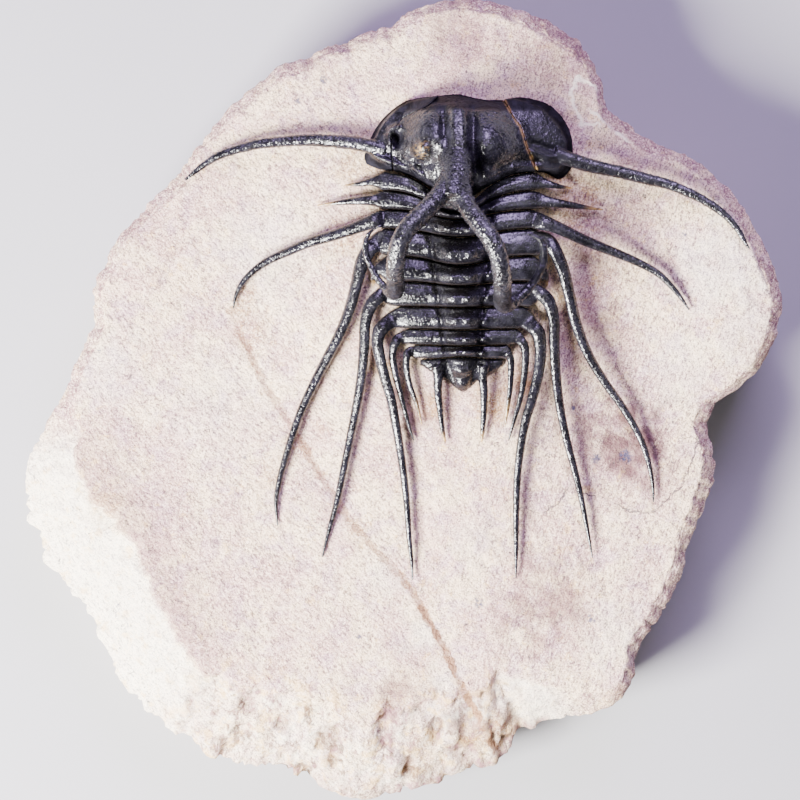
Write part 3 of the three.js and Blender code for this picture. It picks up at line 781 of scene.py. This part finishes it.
def tail_piece(material):
    rows, columns = 46, 130
    u = np.linspace(-1, 1, columns)[None, :]
    v = np.linspace(0, 1, rows)[:, None]
    offset = TAIL_HALF_WIDTH * u
    away = np.abs(offset)
    front = joint_y(JOINTS[-1], away) - PLAY
    rear = TAIL_TIP_Y + 2.2 * smooth(0, 3.4, away) + 3 * smooth(3, 8.7, away)
    y = mix(front, rear, v)
    x = midline(y) + offset + 0 * v
    ground = slab_top(x, y)
    roll = (1 - np.abs(u) ** 8) ** 0.5 * (1 - v**8) ** 0.5 * (1 - (1 - v) ** 10) ** 0.5
    axis = axis_half_width(y) * mix(1, 0.35, v)
    rib = rib_height(y) * 0.75
    arch = rib + (axis_height(y) * mix(1, 0.7, v) - rib) * dome(np.clip(offset / axis, -1, 1))
    ring = 0.3 * np.cos(2 * np.pi * 2.4 * v) * smooth(1, 0.8, away / axis)
    height = (np.where(away < axis, arch, rib) + ring) * smooth(-4, 7, y)
    for side in (-1, 1):
        height += 0.7 * bump((offset - side * (4.2 + 1.2 * v)) / 0.8)
    top = np.stack([x, y, ground + np.maximum(0.15, height * roll)], -1)
    floor = np.stack([x, y, ground + 0.05], -1)
    spines = [tube(over_slab(route, 2.3), taper(0.85), 90, 20) for route in TAIL_SPINES]
    piece = fused("tail_shield", [grid_box(top, floor), *spines], TAIL_CELL)

    points = read(piece)
    fine = granules(points, 0.6, 41)
    points = points + read(piece, "normal") * (0.08 * fine)[:, None]
    move_points(piece, points)
    gold = smooth(-5.5, -8, points[:, 1])
    paint(piece, "shell_tone", [gold, fine, 0.3 * smooth(-1, 1, points[:, 1])])
    finish_piece(piece, "pygidium", material)


# The head

HEAD_FRONT = [
    (-7.2, 45.3), (-6.2, 48.4), (-3.6, 52.6), (0.7, 55.9), (6.6, 56.8), (10.2, 57.1),
    (15.9, 56.1), (19, 56.2), (22.5, 56.6), (28, 55), (31.4, 50.6), (32.2, 45.5),
]
HEAD_REAR = [
    (-6.9, 44.1), (-4.6, 43.1), (0, 42.4), (5, 39.8), (10.4, 36.9), (16, 39.8), (21, 42.1),
    (26.6, 42.4), (29.6, 41.2), (32.3, 43.9),
]
SEAMS = [
    [(6.9, 56.8), (4.9, 54.8), (0, 52.4), (-1.6, 49.4), (-2, 46.2), (-1.7, 43.2)],
    [(19, 56.2), (20.4, 53.4), (22.2, 50.6), (23.4, 46.8), (24.4, 44.6), (25.2, 42.7)],
]
HORNS = [
    [(9.2, 43.2, 9.5), (8.2, 40.2, 13), (6.2, 36.9, 16.6), (3.2, 33.8, 19.2), (0.8, 31.2, 20.4),
     (-0.5, 28.6, 20.4), (-1.1, 25.8, 19), (-1.3, 23.2, 16.6), (-1.2, 20.9, 13.6),
     (-1.5, 19.7, 10.6), (-3, 20.5, 8.4), (-4.9, 22.9, 7.4), (-6.3, 25.8, 7), (-6.9, 28.4, 7),
     (-6.2, 30.8, 7.2), (-3.9, 32.4, 7.6)],
    [(10.9, 43, 9.5), (11.1, 39.4, 13.4), (12.1, 35.6, 16.8), (14.3, 32.5, 19.2),
     (16.4, 29.6, 20.4), (17.8, 26.4, 20.3), (18.4, 23.2, 18.7), (18.6, 20.2, 15.9),
     (18.6, 18.1, 12.6), (19.4, 17.4, 9.8), (21.4, 18.5, 8), (23.9, 21, 7.2), (25.8, 24.1, 7),
     (26.5, 27.2, 7), (25.8, 29.6, 7.2), (23.4, 30.8, 7.6)],
]
CURL_RADIUS = [0.55, 0.76]  # of the left and the right horn's thin end
STALK = [(10.2, 44.8, 8), (10, 41.6, 11.3), (9.5, 38.6, 14.4), (9.3, 36.7, 16)]
CHEEK_SPINES = [
    [(-3, 46.6, 2.4), (-6, 47.3, 2.6), (-8.8, 47.9, 2.6), (-15.5, 48.5, 2.6), (-19.3, 48.5, 2.6),
     (-26.9, 47.8, 2.4), (-30.7, 46.9, 2.2), (-34.5, 45.6, 1.8), (-37.3, 43.9, 1.3),
     (-40.8, 41.1, 0.75)],
    [(28.5, 46, 2.4), (31.5, 44.9, 2.6), (35, 43.8, 2.6), (41.5, 42.4, 2.6), (45.3, 41.4, 2.6),
     (49.1, 40.5, 2.4), (52.9, 39.1, 2.2), (56.7, 37.2, 1.8), (59.6, 35.3, 1.4),
     (62, 33.1, 1.1), (65.2, 28.1, 0.75)],
]


def horn_radius(curl):
    """A horn stays thick down to where it turns under, and its end is a thin curl."""

    def radius(t):
        thick = mix(1.66, curl, smooth(0.62, 0.78, t)) + 0.1 * np.sin(6 * t) * smooth(0.8, 0.6, t)
        return thick * mix(1, 0.35, smooth(0.9, 1, t))

    return radius


# Ridges on the rear border of the head, in X and Y
BORDERS = [
    [(-5, 45.6), (-3.6, 44.8), (-1.1, 43.7), (1.2, 42.4)],
    [(1.6, 44.4), (3.2, 42.2), (4.6, 40.2)],
    [(31.5, 45), (27, 45.4), (24.5, 46.3)],
    [(25.5, 42.9), (21, 43.2), (17.5, 41.4)],
]
BROW = [(-2.3, 47.8), (-2.6, 49.2), (-2.0, 50.5), (-0.9, 51)]  # over the left eye
# Lobes and dents of the head: rise, shape, place across and ahead of the middle, half sizes
HEAD_LOBES = [
    (2.1, plump, -5.3, 2.3, 3.6, 4.2), (1.0, bump, -2.2, -1.2, 1.3, 1.3),
    (1.6, plump, -6.7, -1, 1.55, 1.55), (-1.1, bump, -4.9, -2.2, 1.0, 1.4),
    (-1.0, bump, -7.2, -3.4, 2.8, 0.75), (2.5, plump, 7.5, 0.1, 4.5, 5.4),
    (1.7, plump, 6, -6.2, 2.1, 2.0), (-0.8, bump, 8.5, -5.2, 2.5, 0.7),
    (2.4, bump, 0, -6.4, 3.4, 2.6),
]


def head_height(x, y):
    """Height above the slab: low cheeks, a high middle, three lobes, furrows and the neck."""
    a = x - midline(y)
    b = y - HEAD["y"]
    cheeks = HEAD["cheek_height"] * dome((a - 2) / 22, b / 12.5)
    middle = 0.9 * HEAD["dome_height"] * dome(a / 12, (b - 0.4) / 11)
    height = soft_max(cheeks, middle, 2)
    along = smooth(-9, -5, b) * (1 - smooth(7, 9.5, b))
    height += 2.1 * np.exp(-(((a - 0.3) / 1.75) ** 4)) * along
    height -= 1.3 * bump((a - 3.2) / 0.85) * smooth(-10, -7, b) * (1 - smooth(6.5, 9, b))
    height -= 0.9 * bump((a + 2.5) / 0.8) * smooth(0.5, 2.5, b) * (1 - smooth(5, 8, b))
    for rise, lobe, across, ahead, wide, long in HEAD_LOBES:
        height += rise * lobe((a - across) / wide, (b - ahead) / long)
    height -= 0.8 * bump((np.abs(a - 0.2) - 3.6) / 0.7, (b + 6.8) / 2.4)
    flat = np.stack([x, y], -1).reshape(-1, 2)
    for line in BORDERS:
        height += 0.75 * bump(way_from(flat, line) / 0.6).reshape(height.shape)
        front = [(px, py + 1.5) for px, py in line]
        height -= 0.5 * bump(way_from(flat, front) / 0.7).reshape(height.shape)
    height += 1.5 * bump(way_from(flat, BROW) / 0.55).reshape(height.shape)
    return height - 2.2 * plump((x + 0.95) / 0.9, (y - 48.4) / 1.2)


def cheek_height(x, y):
    """The cheeks lie a little lower than the middle of the head."""
    return head_height(x, y) * 0.95 - 0.15 + 0.8 * bump((x - 21.9) / 1.3, (y - 47.8) / 1.6)


def corner_patch(left, right, front, back):
    """A grid of places inside four edges that meet at their corners."""
    rows, columns = len(left), len(front)
    u = np.linspace(0, 1, columns)[None, :, None]
    v = np.linspace(0, 1, rows)[:, None, None]
    ruled = (1 - u) * left[:, None] + u * right[:, None] + (1 - v) * front[None] + v * back[None]
    corners = (
        (1 - u) * (1 - v) * front[0] + u * (1 - v) * front[-1]
        + (1 - u) * v * back[0] + u * v * back[-1]
    )
    return ruled - corners


def cut_line(line, start, end, count):
    """The stretch of a smooth line between the points nearest to start and end."""
    fine = curve(line, 600, place=2)
    first = np.linalg.norm(fine - start, axis=1).argmin()
    last = np.linalg.norm(fine - end, axis=1).argmin()
    at = np.linspace(first, last, count)
    return np.stack([np.interp(at, np.arange(600), column) for column in fine.T], 1)


def shield_skin(place, rolls, height_at):
    """A plate of the head shield over a grid of places; rolls says which edges turn down."""
    rows, columns = place.shape[:2]
    u = np.linspace(0, 1, columns)[None, :]
    v = np.linspace(0, 1, rows)[:, None]
    turn = np.ones((rows, columns))
    for edge, near in (("left", u), ("right", 1 - u), ("front", v), ("rear", 1 - v)):
        if edge in rolls:
            turn = turn * np.sqrt(np.clip(near / rolls[edge], 0, 1) + 1e-6) ** 0.9
    x, y = place[..., 0], place[..., 1]
    ground = slab_top(x, y)
    height = np.maximum(0.4, height_at(x, y) * turn)
    return grid_box(
        np.stack([x, y, ground + height], -1), np.stack([x, y, ground + 0.05], -1)
    )


def seam_line(index, count):
    return curve(SEAMS[index], count, place=2)


def dress_head(piece, node, granular, material):
    """Raises granules where the shell has them and stores its tones."""
    points = read(piece)
    strength = granular(points)
    coarse = granules(points, 0.72, 51)
    fine = granules(points, 0.45, 52)
    raised = strength * 0.13 * coarse + (0.02 + 0.05 * strength) * fine
    raised += 0.06 * rough(points, 1.8, 3, 53) - 0.1 * smooth(0.35, 0.8, rough(points, 0.9, 2, 56))
    points = points + read(piece, "normal") * raised[:, None]
    move_points(piece, points)
    x, y, z = points.T
    crack = bump(way_from(points, SEAMS[1]) / 0.22) * smooth(16, 18, x)
    crack = crack * smooth(-0.2, 0.4, rough(points, 1.2, 2, 54) + 0.35)
    knob = bump((x - 3.6) / 1.2, (y - 46.3) / 1.2)
    knob = knob * smooth(0.0, 0.5, rough(points * (1, 3, 1), 1.0, 2, 55) + 0.1)
    gold = np.clip(crack + 0.7 * knob, 0, 1)
    on_shield = smooth(-8.5, -7.5, x) * smooth(33.5, 32.5, x)
    dull = np.max([
        smooth(3.6, 1.6, z - slab_top(x, y)) * on_shield,  # the steep edges
        0.8 * smooth(53, 54.5, y) * on_shield,  # the front band
        0.4 * smooth(22, 24, x) * on_shield,  # the right cheek
        0.75 * smooth(23.5, 20, y) * smooth(36, 38, z) * smooth(45, 42, z),  # the horns' bends
    ], axis=0)
    paint(piece, "shell_tone", [gold, np.maximum(coarse, fine) * strength, dull])
    finish_piece(piece, node, material)


def near_horns(points):
    """1 on the horns and the stalk, fading to 0 down on the head."""
    height = points[:, 2] - PLATEAU
    behind = smooth(40, 37, points[:, 1])
    return np.maximum(smooth(10.5, 13, height), behind)


def cranidium_piece(material):
    columns, rows = 150, 130
    left, right = seam_line(0, rows), seam_line(1, rows)
    front = cut_line(HEAD_FRONT, left[0], right[0], columns)
    back = cut_line(HEAD_REAR, left[-1], right[-1], columns)
    left = left + (HALF_SEAM, 0)
    right = right - (HALF_SEAM, 0)
    front[0], front[-1] = left[0], right[0]
    back[0], back[-1] = left[-1], right[-1]
    place = corner_patch(left, right, front, back)
    shield = shield_skin(place, {"front": 0.15, "rear": 0.07}, head_height)
    horns = [
        tube([(x, y, PLATEAU + h) for x, y, h in horn], horn_radius(curl), 260, 40)
        for horn, curl in zip(HORNS, CURL_RADIUS)
    ]
    stalk = tube(
        [(x, y, PLATEAU + h) for x, y, h in STALK], lambda t: mix(3.3, 2.3, t), 60, 48
    )
    piece = fused("head_middle", [shield, *horns, stalk], HEAD_CELL)

    def granular(points):
        a = points[:, 0] - midline(points[:, 1])
        lobe = bump((a - 0.3) / 2.1) ** 2 * smooth(42, 45, points[:, 1])
        stalk = bump((a + 0.6) / 4, (points[:, 1] - 40) / 3)
        return np.clip(near_horns(points) * (1 - 0.6 * stalk) + 0.8 * lobe + 0.3, 0, 1)

    dress_head(piece, "cranidium_with_horns", granular, material)


def cheek_piece(side, name, node, material):
    """One cheek with its spine; side is 0 for the left and 1 for the right."""
    rows, columns = 110, 70
    outward = 1 if side else -1
    seam = seam_line(side, rows)
    margin = cut_line(HEAD_FRONT, seam[0], HEAD_FRONT[-side], rows)
    back = cut_line(HEAD_REAR, HEAD_REAR[-side], seam[-1], columns)
    seam = seam + (outward * HALF_SEAM, 0)
    back[-1] = seam[-1]
    margin[-1] = back[0]
    margin[0] = seam[0] + (0.3 * outward, 0)
    front = np.linspace(margin[0], seam[0], columns)
    place = corner_patch(margin, seam, front, back)
    skins = [shield_skin(place, {"left": 0.22, "rear": 0.07}, cheek_height)]
    spine = [(x, y, slab_top(x, y) + h) for x, y, h in CHEEK_SPINES[side]]
    skins.append(tube(spine, lambda t: taper(1.22)(t) + 0.1, 260, 30))
    piece = fused(name, skins, CHEEK_CELL)

    def granular(points):
        out = points[:, 0] - 30 if side else -5.5 - points[:, 0]
        return np.clip(0.15 + 0.5 * smooth(0, 3, out), 0, 1)

    dress_head(piece, node, granular, material)


# Materials

# Colours of the rock
CREAM = (0.92, 0.70, 0.46)
PINK = (0.68, 0.44, 0.36)
LILAC = (0.56, 0.36, 0.41)
MAUVE = (0.27, 0.13, 0.14)
SHADE_PLUM = (0.10, 0.045, 0.045)
SAND = (0.80, 0.53, 0.20)
TAN = (0.36, 0.19, 0.10)
CHALK = (0.98, 0.90, 0.75)
PALE_GRAIN_AND_HIGHLIGHT = (0.98, 0.80, 0.64)
OCHRE = (0.42, 0.22, 0.05)
UMBER = (0.13, 0.065, 0.04)
DARK_GRAIN_AND_SHADE = (0.15, 0.085, 0.095)
SLATE = (0.10, 0.08, 0.09)
INK = (0.04, 0.05, 0.11)
# Colours of the shell
SOOT = (0.0035, 0.003, 0.0045)
GRAPHITE = (0.012, 0.011, 0.016)
ASH = (0.045, 0.043, 0.052)
DUST = (0.06, 0.04, 0.028)
GOLD = (0.44, 0.27, 0.10)


class Graph:
    """A material's node tree, built a node at a time, with the colour laid on in layers."""

    def __init__(self, name):
        self.material = bpy.data.materials.new(name)
        self.material.use_nodes = True
        self.tree = self.material.node_tree
        self.shader = self.tree.nodes["Principled BSDF"]
        self.colour = None

    def plug(self, socket, value):
        """Links a socket to another one, or gives it a number or a colour."""
        if isinstance(value, bpy.types.NodeSocket):
            self.tree.links.new(value, socket)
        else:
            socket.default_value = (*value, 1) if socket.type == "RGBA" else value

    def add(self, kind, inputs=(), **settings):
        """A node with its settings; inputs maps a socket to a value or to another socket."""
        node = self.tree.nodes.new(kind)
        for key, value in settings.items():
            setattr(node, key, value)
        for socket, value in dict(inputs).items():
            self.plug(node.inputs[socket], value)
        return node

    def place(self, squeeze=(1, 1, 1), turn=0.0):
        """Object coordinates in millimetres, turned about Z and then squeezed."""
        where = self.add("ShaderNodeTexCoord").outputs["Object"]
        turned = self.add("ShaderNodeMapping", {"Vector": where, "Scale": (1 / MM,) * 3})
        turned.inputs["Rotation"].default_value = (0, 0, math.radians(turn))
        squeezed = {"Vector": turned.outputs["Vector"], "Scale": squeeze}
        return self.add("ShaderNodeMapping", squeezed).outputs["Vector"]

    def noise(self, size, detail=4, where=None, roughness=0.55):
        """Noise with grains of that many millimetres, from 0 to 1."""
        where = where or self.place()
        inputs = {"Vector": where, "Scale": 1 / size, "Detail": detail, "Roughness": roughness}
        return self.add("ShaderNodeTexNoise", inputs).outputs["Fac"]

    def remap(self, value, low, high, to_low=0.0, to_high=1.0):
        """A value eased from one range into another."""
        inputs = {
            "Value": value, "From Min": low, "From Max": high, "To Min": to_low, "To Max": to_high,
        }
        node = self.add("ShaderNodeMapRange", inputs, interpolation_type="SMOOTHSTEP")
        return node.outputs["Result"]

    def patches(self, size, detail, low, high, faintest=0.0, strongest=1.0, roughness=0.55):
        """Noise eased from one range into another, as a mask of patches."""
        return self.remap(self.noise(size, detail, None, roughness), low, high, faintest, strongest)

    def maths(self, operation, a, b=0.0):
        return self.add("ShaderNodeMath", {0: a, 1: b}, operation=operation).outputs[0]

    def times(self, *factors):
        """The product of several values."""
        product = factors[0]
        for factor in factors[1:]:
            product = self.maths("MULTIPLY", product, factor)
        return product

    def blend(self, factor, a, b):
        """One colour over another."""
        return self.add("ShaderNodeMix", {0: factor, 6: a, 7: b}, data_type="RGBA").outputs[2]

    def layer(self, tone, *masks):
        """Lays a tone over the colour so far, as strongly as the product of its masks."""
        self.colour = self.blend(self.times(*masks), self.colour, tone)

    def tones(self, name):
        """The three stored values of a mesh."""
        read_out = self.add("ShaderNodeAttribute", attribute_name=name)
        split = self.add("ShaderNodeSeparateColor", {"Color": read_out.outputs["Color"]})
        return [split.outputs[k] for k in range(3)]

    def bump(self, height, strength, depth, under=None):
        inputs = {"Height": height, "Strength": strength, "Distance": depth * MM}
        if under is not None:
            inputs["Normal"] = under
        return self.add("ShaderNodeBump", inputs).outputs["Normal"]

    def surface(self, **sockets):
        for socket, value in sockets.items():
            self.plug(self.shader.inputs[socket.replace("_", " ")], value)


def rock_material():
    """Pale pinkish limestone: short tool strokes, whiter breaks, stains, spots and cracks, with
    painted shade beside the spines and in the dips, and painted shade and highlight along the
    strokes.
    """
    g = Graph("limestone")
    fresh, warm, mauve_and_shade = g.tones("rock_tone")
    hollow, rim, paler_patch = g.tones("rock_marks")
    lines, near = g.tones("rock_lines"), g.tones("rock_near")
    spot_reach, low, _ = g.tones("rock_spots")

    # Tool strokes lie along one diagonal on the left of the slab and stand steeper on the right.
    across = g.add("ShaderNodeSeparateXYZ", {"Vector": g.place()}).outputs["X"]
    right = g.remap(g.maths("ADD", across, g.times(g.noise(12, 2), 24)), 0, 42)
    falling, rising = (g.noise(0.46, 5, g.place((0.4, 1, 1), turn), 0.72) for turn in (48, -72))
    strokes = g.maths(
        "ADD", g.times(falling, g.maths("SUBTRACT", 1.0, right)), g.times(rising, right)
    )
    crumbs = g.noise(0.5, 5, roughness=0.75)
    pepper = g.noise(0.3, 2, roughness=0.6)

    # The ground colour with its patches
    g.colour = g.blend(g.patches(10, 5, 0.42, 0.58, roughness=0.62), CREAM, PINK)
    g.layer(LILAC, g.patches(3.6, 4, 0.48, 0.66, 0, 0.7))
    # Purple-pink patches: the rock's own tint, and beside the spines and in the dips a painted
    # shade
    g.layer(MAUVE, mauve_and_shade, g.patches(1.9, 5, 0.3, 0.66, 0.45, 1, roughness=0.66))
    g.layer(SAND, g.patches(2.6, 5, 0.56, 0.7, 0, 0.65, roughness=0.68))
    g.layer(CHALK, paler_patch, 0.7)
    g.layer(CHALK, fresh, 0.93)
    g.layer(SAND, fresh, g.patches(2.4, 5, 0.52, 0.66, 0, 0.6, roughness=0.7))
    g.layer(MAUVE, rim, g.patches(2, 5, 0.4, 0.6, 0.15, 0.8))
    # Warm stains; among the rear spines they are partly painted shade
    g.layer(OCHRE, warm, g.patches(1.3, 4, 0.3, 0.6, 0.4, 1))

    # Strokes and pepper grain show as darker and lighter flecks, fainter on the breaks. Along the
    # strokes the flecks are partly the rock's grain and partly painted shade in their scores and
    # painted highlight on their ridges.
    faint = g.remap(g.maths("MAXIMUM", fresh, g.times(paler_patch, 0.7)), 0, 1, 1, 0.6)
    shaded = g.remap(mauve_and_shade, 0, 1, 1, 0.3)
    g.layer(DARK_GRAIN_AND_SHADE, g.remap(strokes, 0.5, 0.37, 0, 0.85), faint)
    g.layer(PALE_GRAIN_AND_HIGHLIGHT, g.remap(strokes, 0.53, 0.64, 0, 0.75), shaded)
    g.layer(DARK_GRAIN_AND_SHADE, g.remap(pepper, 0.46, 0.34, 0, 0.75), faint)
    g.layer(PALE_GRAIN_AND_HIGHLIGHT, g.remap(pepper, 0.55, 0.66, 0, 0.8), shaded)
    # Painted shade: the strongest purple-pink patches darken to plum
    g.layer(SHADE_PLUM, g.maths("POWER", mauve_and_shade, 3), 0.7)

    # Yellow, brown and purple dirt lies in the ragged lower break.
    g.layer(SAND, low, g.patches(3.4, 5, 0.5, 0.6, 0, 0.55, roughness=0.66))
    dirt = g.blend(g.patches(4, 2, 0.45, 0.55), UMBER, MAUVE)
    torn = g.noise(1.7, 6, g.place((1, 0.45, 1)), 0.74)
    g.layer(dirt, low, g.remap(torn, 0.52, 0.62, 0, 0.75))
    g.layer(dirt, hollow, g.remap(torn, 0.36, 0.54, 0.2, 0.85))
    hair_line = g.maths("ABSOLUTE", g.maths("SUBTRACT", g.noise(1.5, 1), 0.5))
    hair = g.times(g.remap(hair_line, 0.014, 0.004), g.patches(2.3, 1, 0.6, 0.64))
    g.layer(SLATE, hair, 0.7)

    # The vein, the cracks and the pale veins wander a little about the lines stored on the mesh.
    wander = g.times(g.maths("SUBTRACT", g.noise(1.7, 4), 0.5), 2.2)
    vein_way, crack_way, pale_way = (
        g.maths("ABSOLUTE", g.maths("ADD", line, wander)) for line in lines
    )
    broken_up = g.patches(3, 3, 0.36, 0.54, 0.4, 1)
    vein = g.times(g.remap(vein_way, 0.9, 0.5), broken_up, near[0])
    dots = g.times(vein, g.patches(0.5, 3, 0.5, 0.42, 0, 0.55))
    cracked = g.patches(2, 2, 0.35, 0.5, 0.3, 1)
    crack = g.times(g.remap(crack_way, 0.2, 0.04), cracked, near[1])
    g.layer(TAN, vein, 0.9)
    g.layer(UMBER, dots)
    g.layer(SLATE, crack, 0.8)
    g.layer(CHALK, g.remap(pale_way, 0.5, 0.1), near[2], 0.75)
    spot = g.remap(g.maths("ADD", spot_reach, wander), 1.1, 0.5)
    g.layer(INK, spot, g.patches(0.6, 3, 0.42, 0.52), 0.8)

    scored = g.bump(strokes, 0.9, 0.35)
    pitted = g.bump(crumbs, 0.9, 0.26, scored)
    dented = g.bump(g.noise(1.6, 5, roughness=0.68), 1, 0.7, pitted)
    opened = g.maths("SUBTRACT", g.maths("ADD", crack, hair), dots)
    g.surface(
        Base_Color=g.colour, Roughness=g.remap(strokes, 0.3, 0.7, 0.85, 0.98),
        Normal=g.bump(opened, 0.9, -0.25, dented), Specular_IOR_Level=0.2,
    )
    return g.material


def shell_material():
    """Near-black fossil shell: satin, with paler granule tops, golden tips, dull steep edges and a
    painted highlight line along the ribs' rear rims.
    """
    g = Graph("shell")
    gold, pale, dull = g.tones("shell_tone")
    g.colour = g.blend(g.patches(2.2, 4, 0.4, 0.65), SOOT, GRAPHITE)
    clean = g.remap(dull, 0, 1, 1, 0.1)
    # Paler granule tops, and along the ribs' rear rims a painted highlight line
    g.layer(ASH, pale, clean, 0.25)
    g.layer(ASH, g.patches(1.2, 5, 0.57, 0.68, 0, 0.35, roughness=0.7), clean)
    hollow = g.add("ShaderNodeNewGeometry").outputs["Pointiness"]
    g.layer(DUST, g.remap(hollow, 0.47, 0.43, 0, 0.12))
    g.layer(GOLD, gold, g.patches(0.8, 3, 0.36, 0.56, 0.25, 1))
    cells = g.add("ShaderNodeTexVoronoi", {"Vector": g.place(), "Scale": 1 / 0.36})
    pebbled = g.bump(g.remap(cells.outputs["Distance"], 0.1, 0.5, 1, 0), 0.55, 0.08)
    gloss = g.patches(0.9, 4, 0.38, 0.62, 0.13, 0.3)
    g.surface(
        Base_Color=g.colour, Roughness=g.maths("MAXIMUM", gloss, g.times(dull, 0.7)),
        Normal=g.bump(g.noise(0.3, 4), 0.4, 0.06, pebbled),
        Specular_IOR_Level=g.remap(dull, 0, 1, 0.6, 0.04),
    )
    return g.material


def floor_material():
    g = Graph("studio_floor")
    colour = g.blend(g.noise(60, 2), (0.29, 0.285, 0.30), (0.32, 0.315, 0.33))
    g.surface(Base_Color=colour, Roughness=0.9)
    return g.material


# Studio


def studio():
    bpy.ops.mesh.primitive_plane_add(size=4, location=(0, 0, -0.0002))
    floor = bpy.context.object
    floor.name = "studio_floor"
    floor.data.materials.append(floor_material())

    def lamp(name, place, size, watts, colour=(1, 1, 1)):
        light = bpy.data.lights.new(name, "AREA")
        light.size = size
        light.energy = watts
        light.color = colour
        item = placed(name, light)
        item.location = place
        item.rotation_euler = (-item.location).to_track_quat("-Z", "Y").to_euler()

    lamp("key", (-0.38, -0.27, 0.36), 0.24, 38, (1, 0.985, 0.96))
    lamp("fill", (0.5, 0.3, 0.8), 0.8, 3, (0.94, 0.92, 1))
    lamp("violet_rim", (0.16, 0.6, 0.5), 0.42, 12, (0.66, 0.5, 1))

    world = bpy.data.worlds.new("studio")
    world.use_nodes = True
    backdrop = world.node_tree.nodes["Background"].inputs
    backdrop["Color"].default_value = (0.95, 0.95, 1, 1)
    backdrop["Strength"].default_value = 0.09
    bpy.context.scene.world = world

    # The photograph looks straight down on the slab, its long side up, from some way off.
    distance, field = 1.5, 0.1504
    camera = bpy.data.cameras.new("camera")
    camera.sensor_width = 36
    camera.lens = camera.sensor_width * distance / field
    camera.clip_start = 0.01
    eye = placed("camera", camera)
    eye.location = (-0.0004, -0.0002, SLAB_THICKNESS * MM + distance)
    bpy.context.scene.camera = eye


shell = shell_material()
rock_piece(rock_material())
for number in range(len(SEGMENTS)):
    segment_piece(number, shell)
tail_piece(shell)
cranidium_piece(shell)
cheek_piece(0, "left_cheek_plate", "left_cheek", shell)
cheek_piece(1, "right_cheek_plate", "right_cheek", shell)
studio()
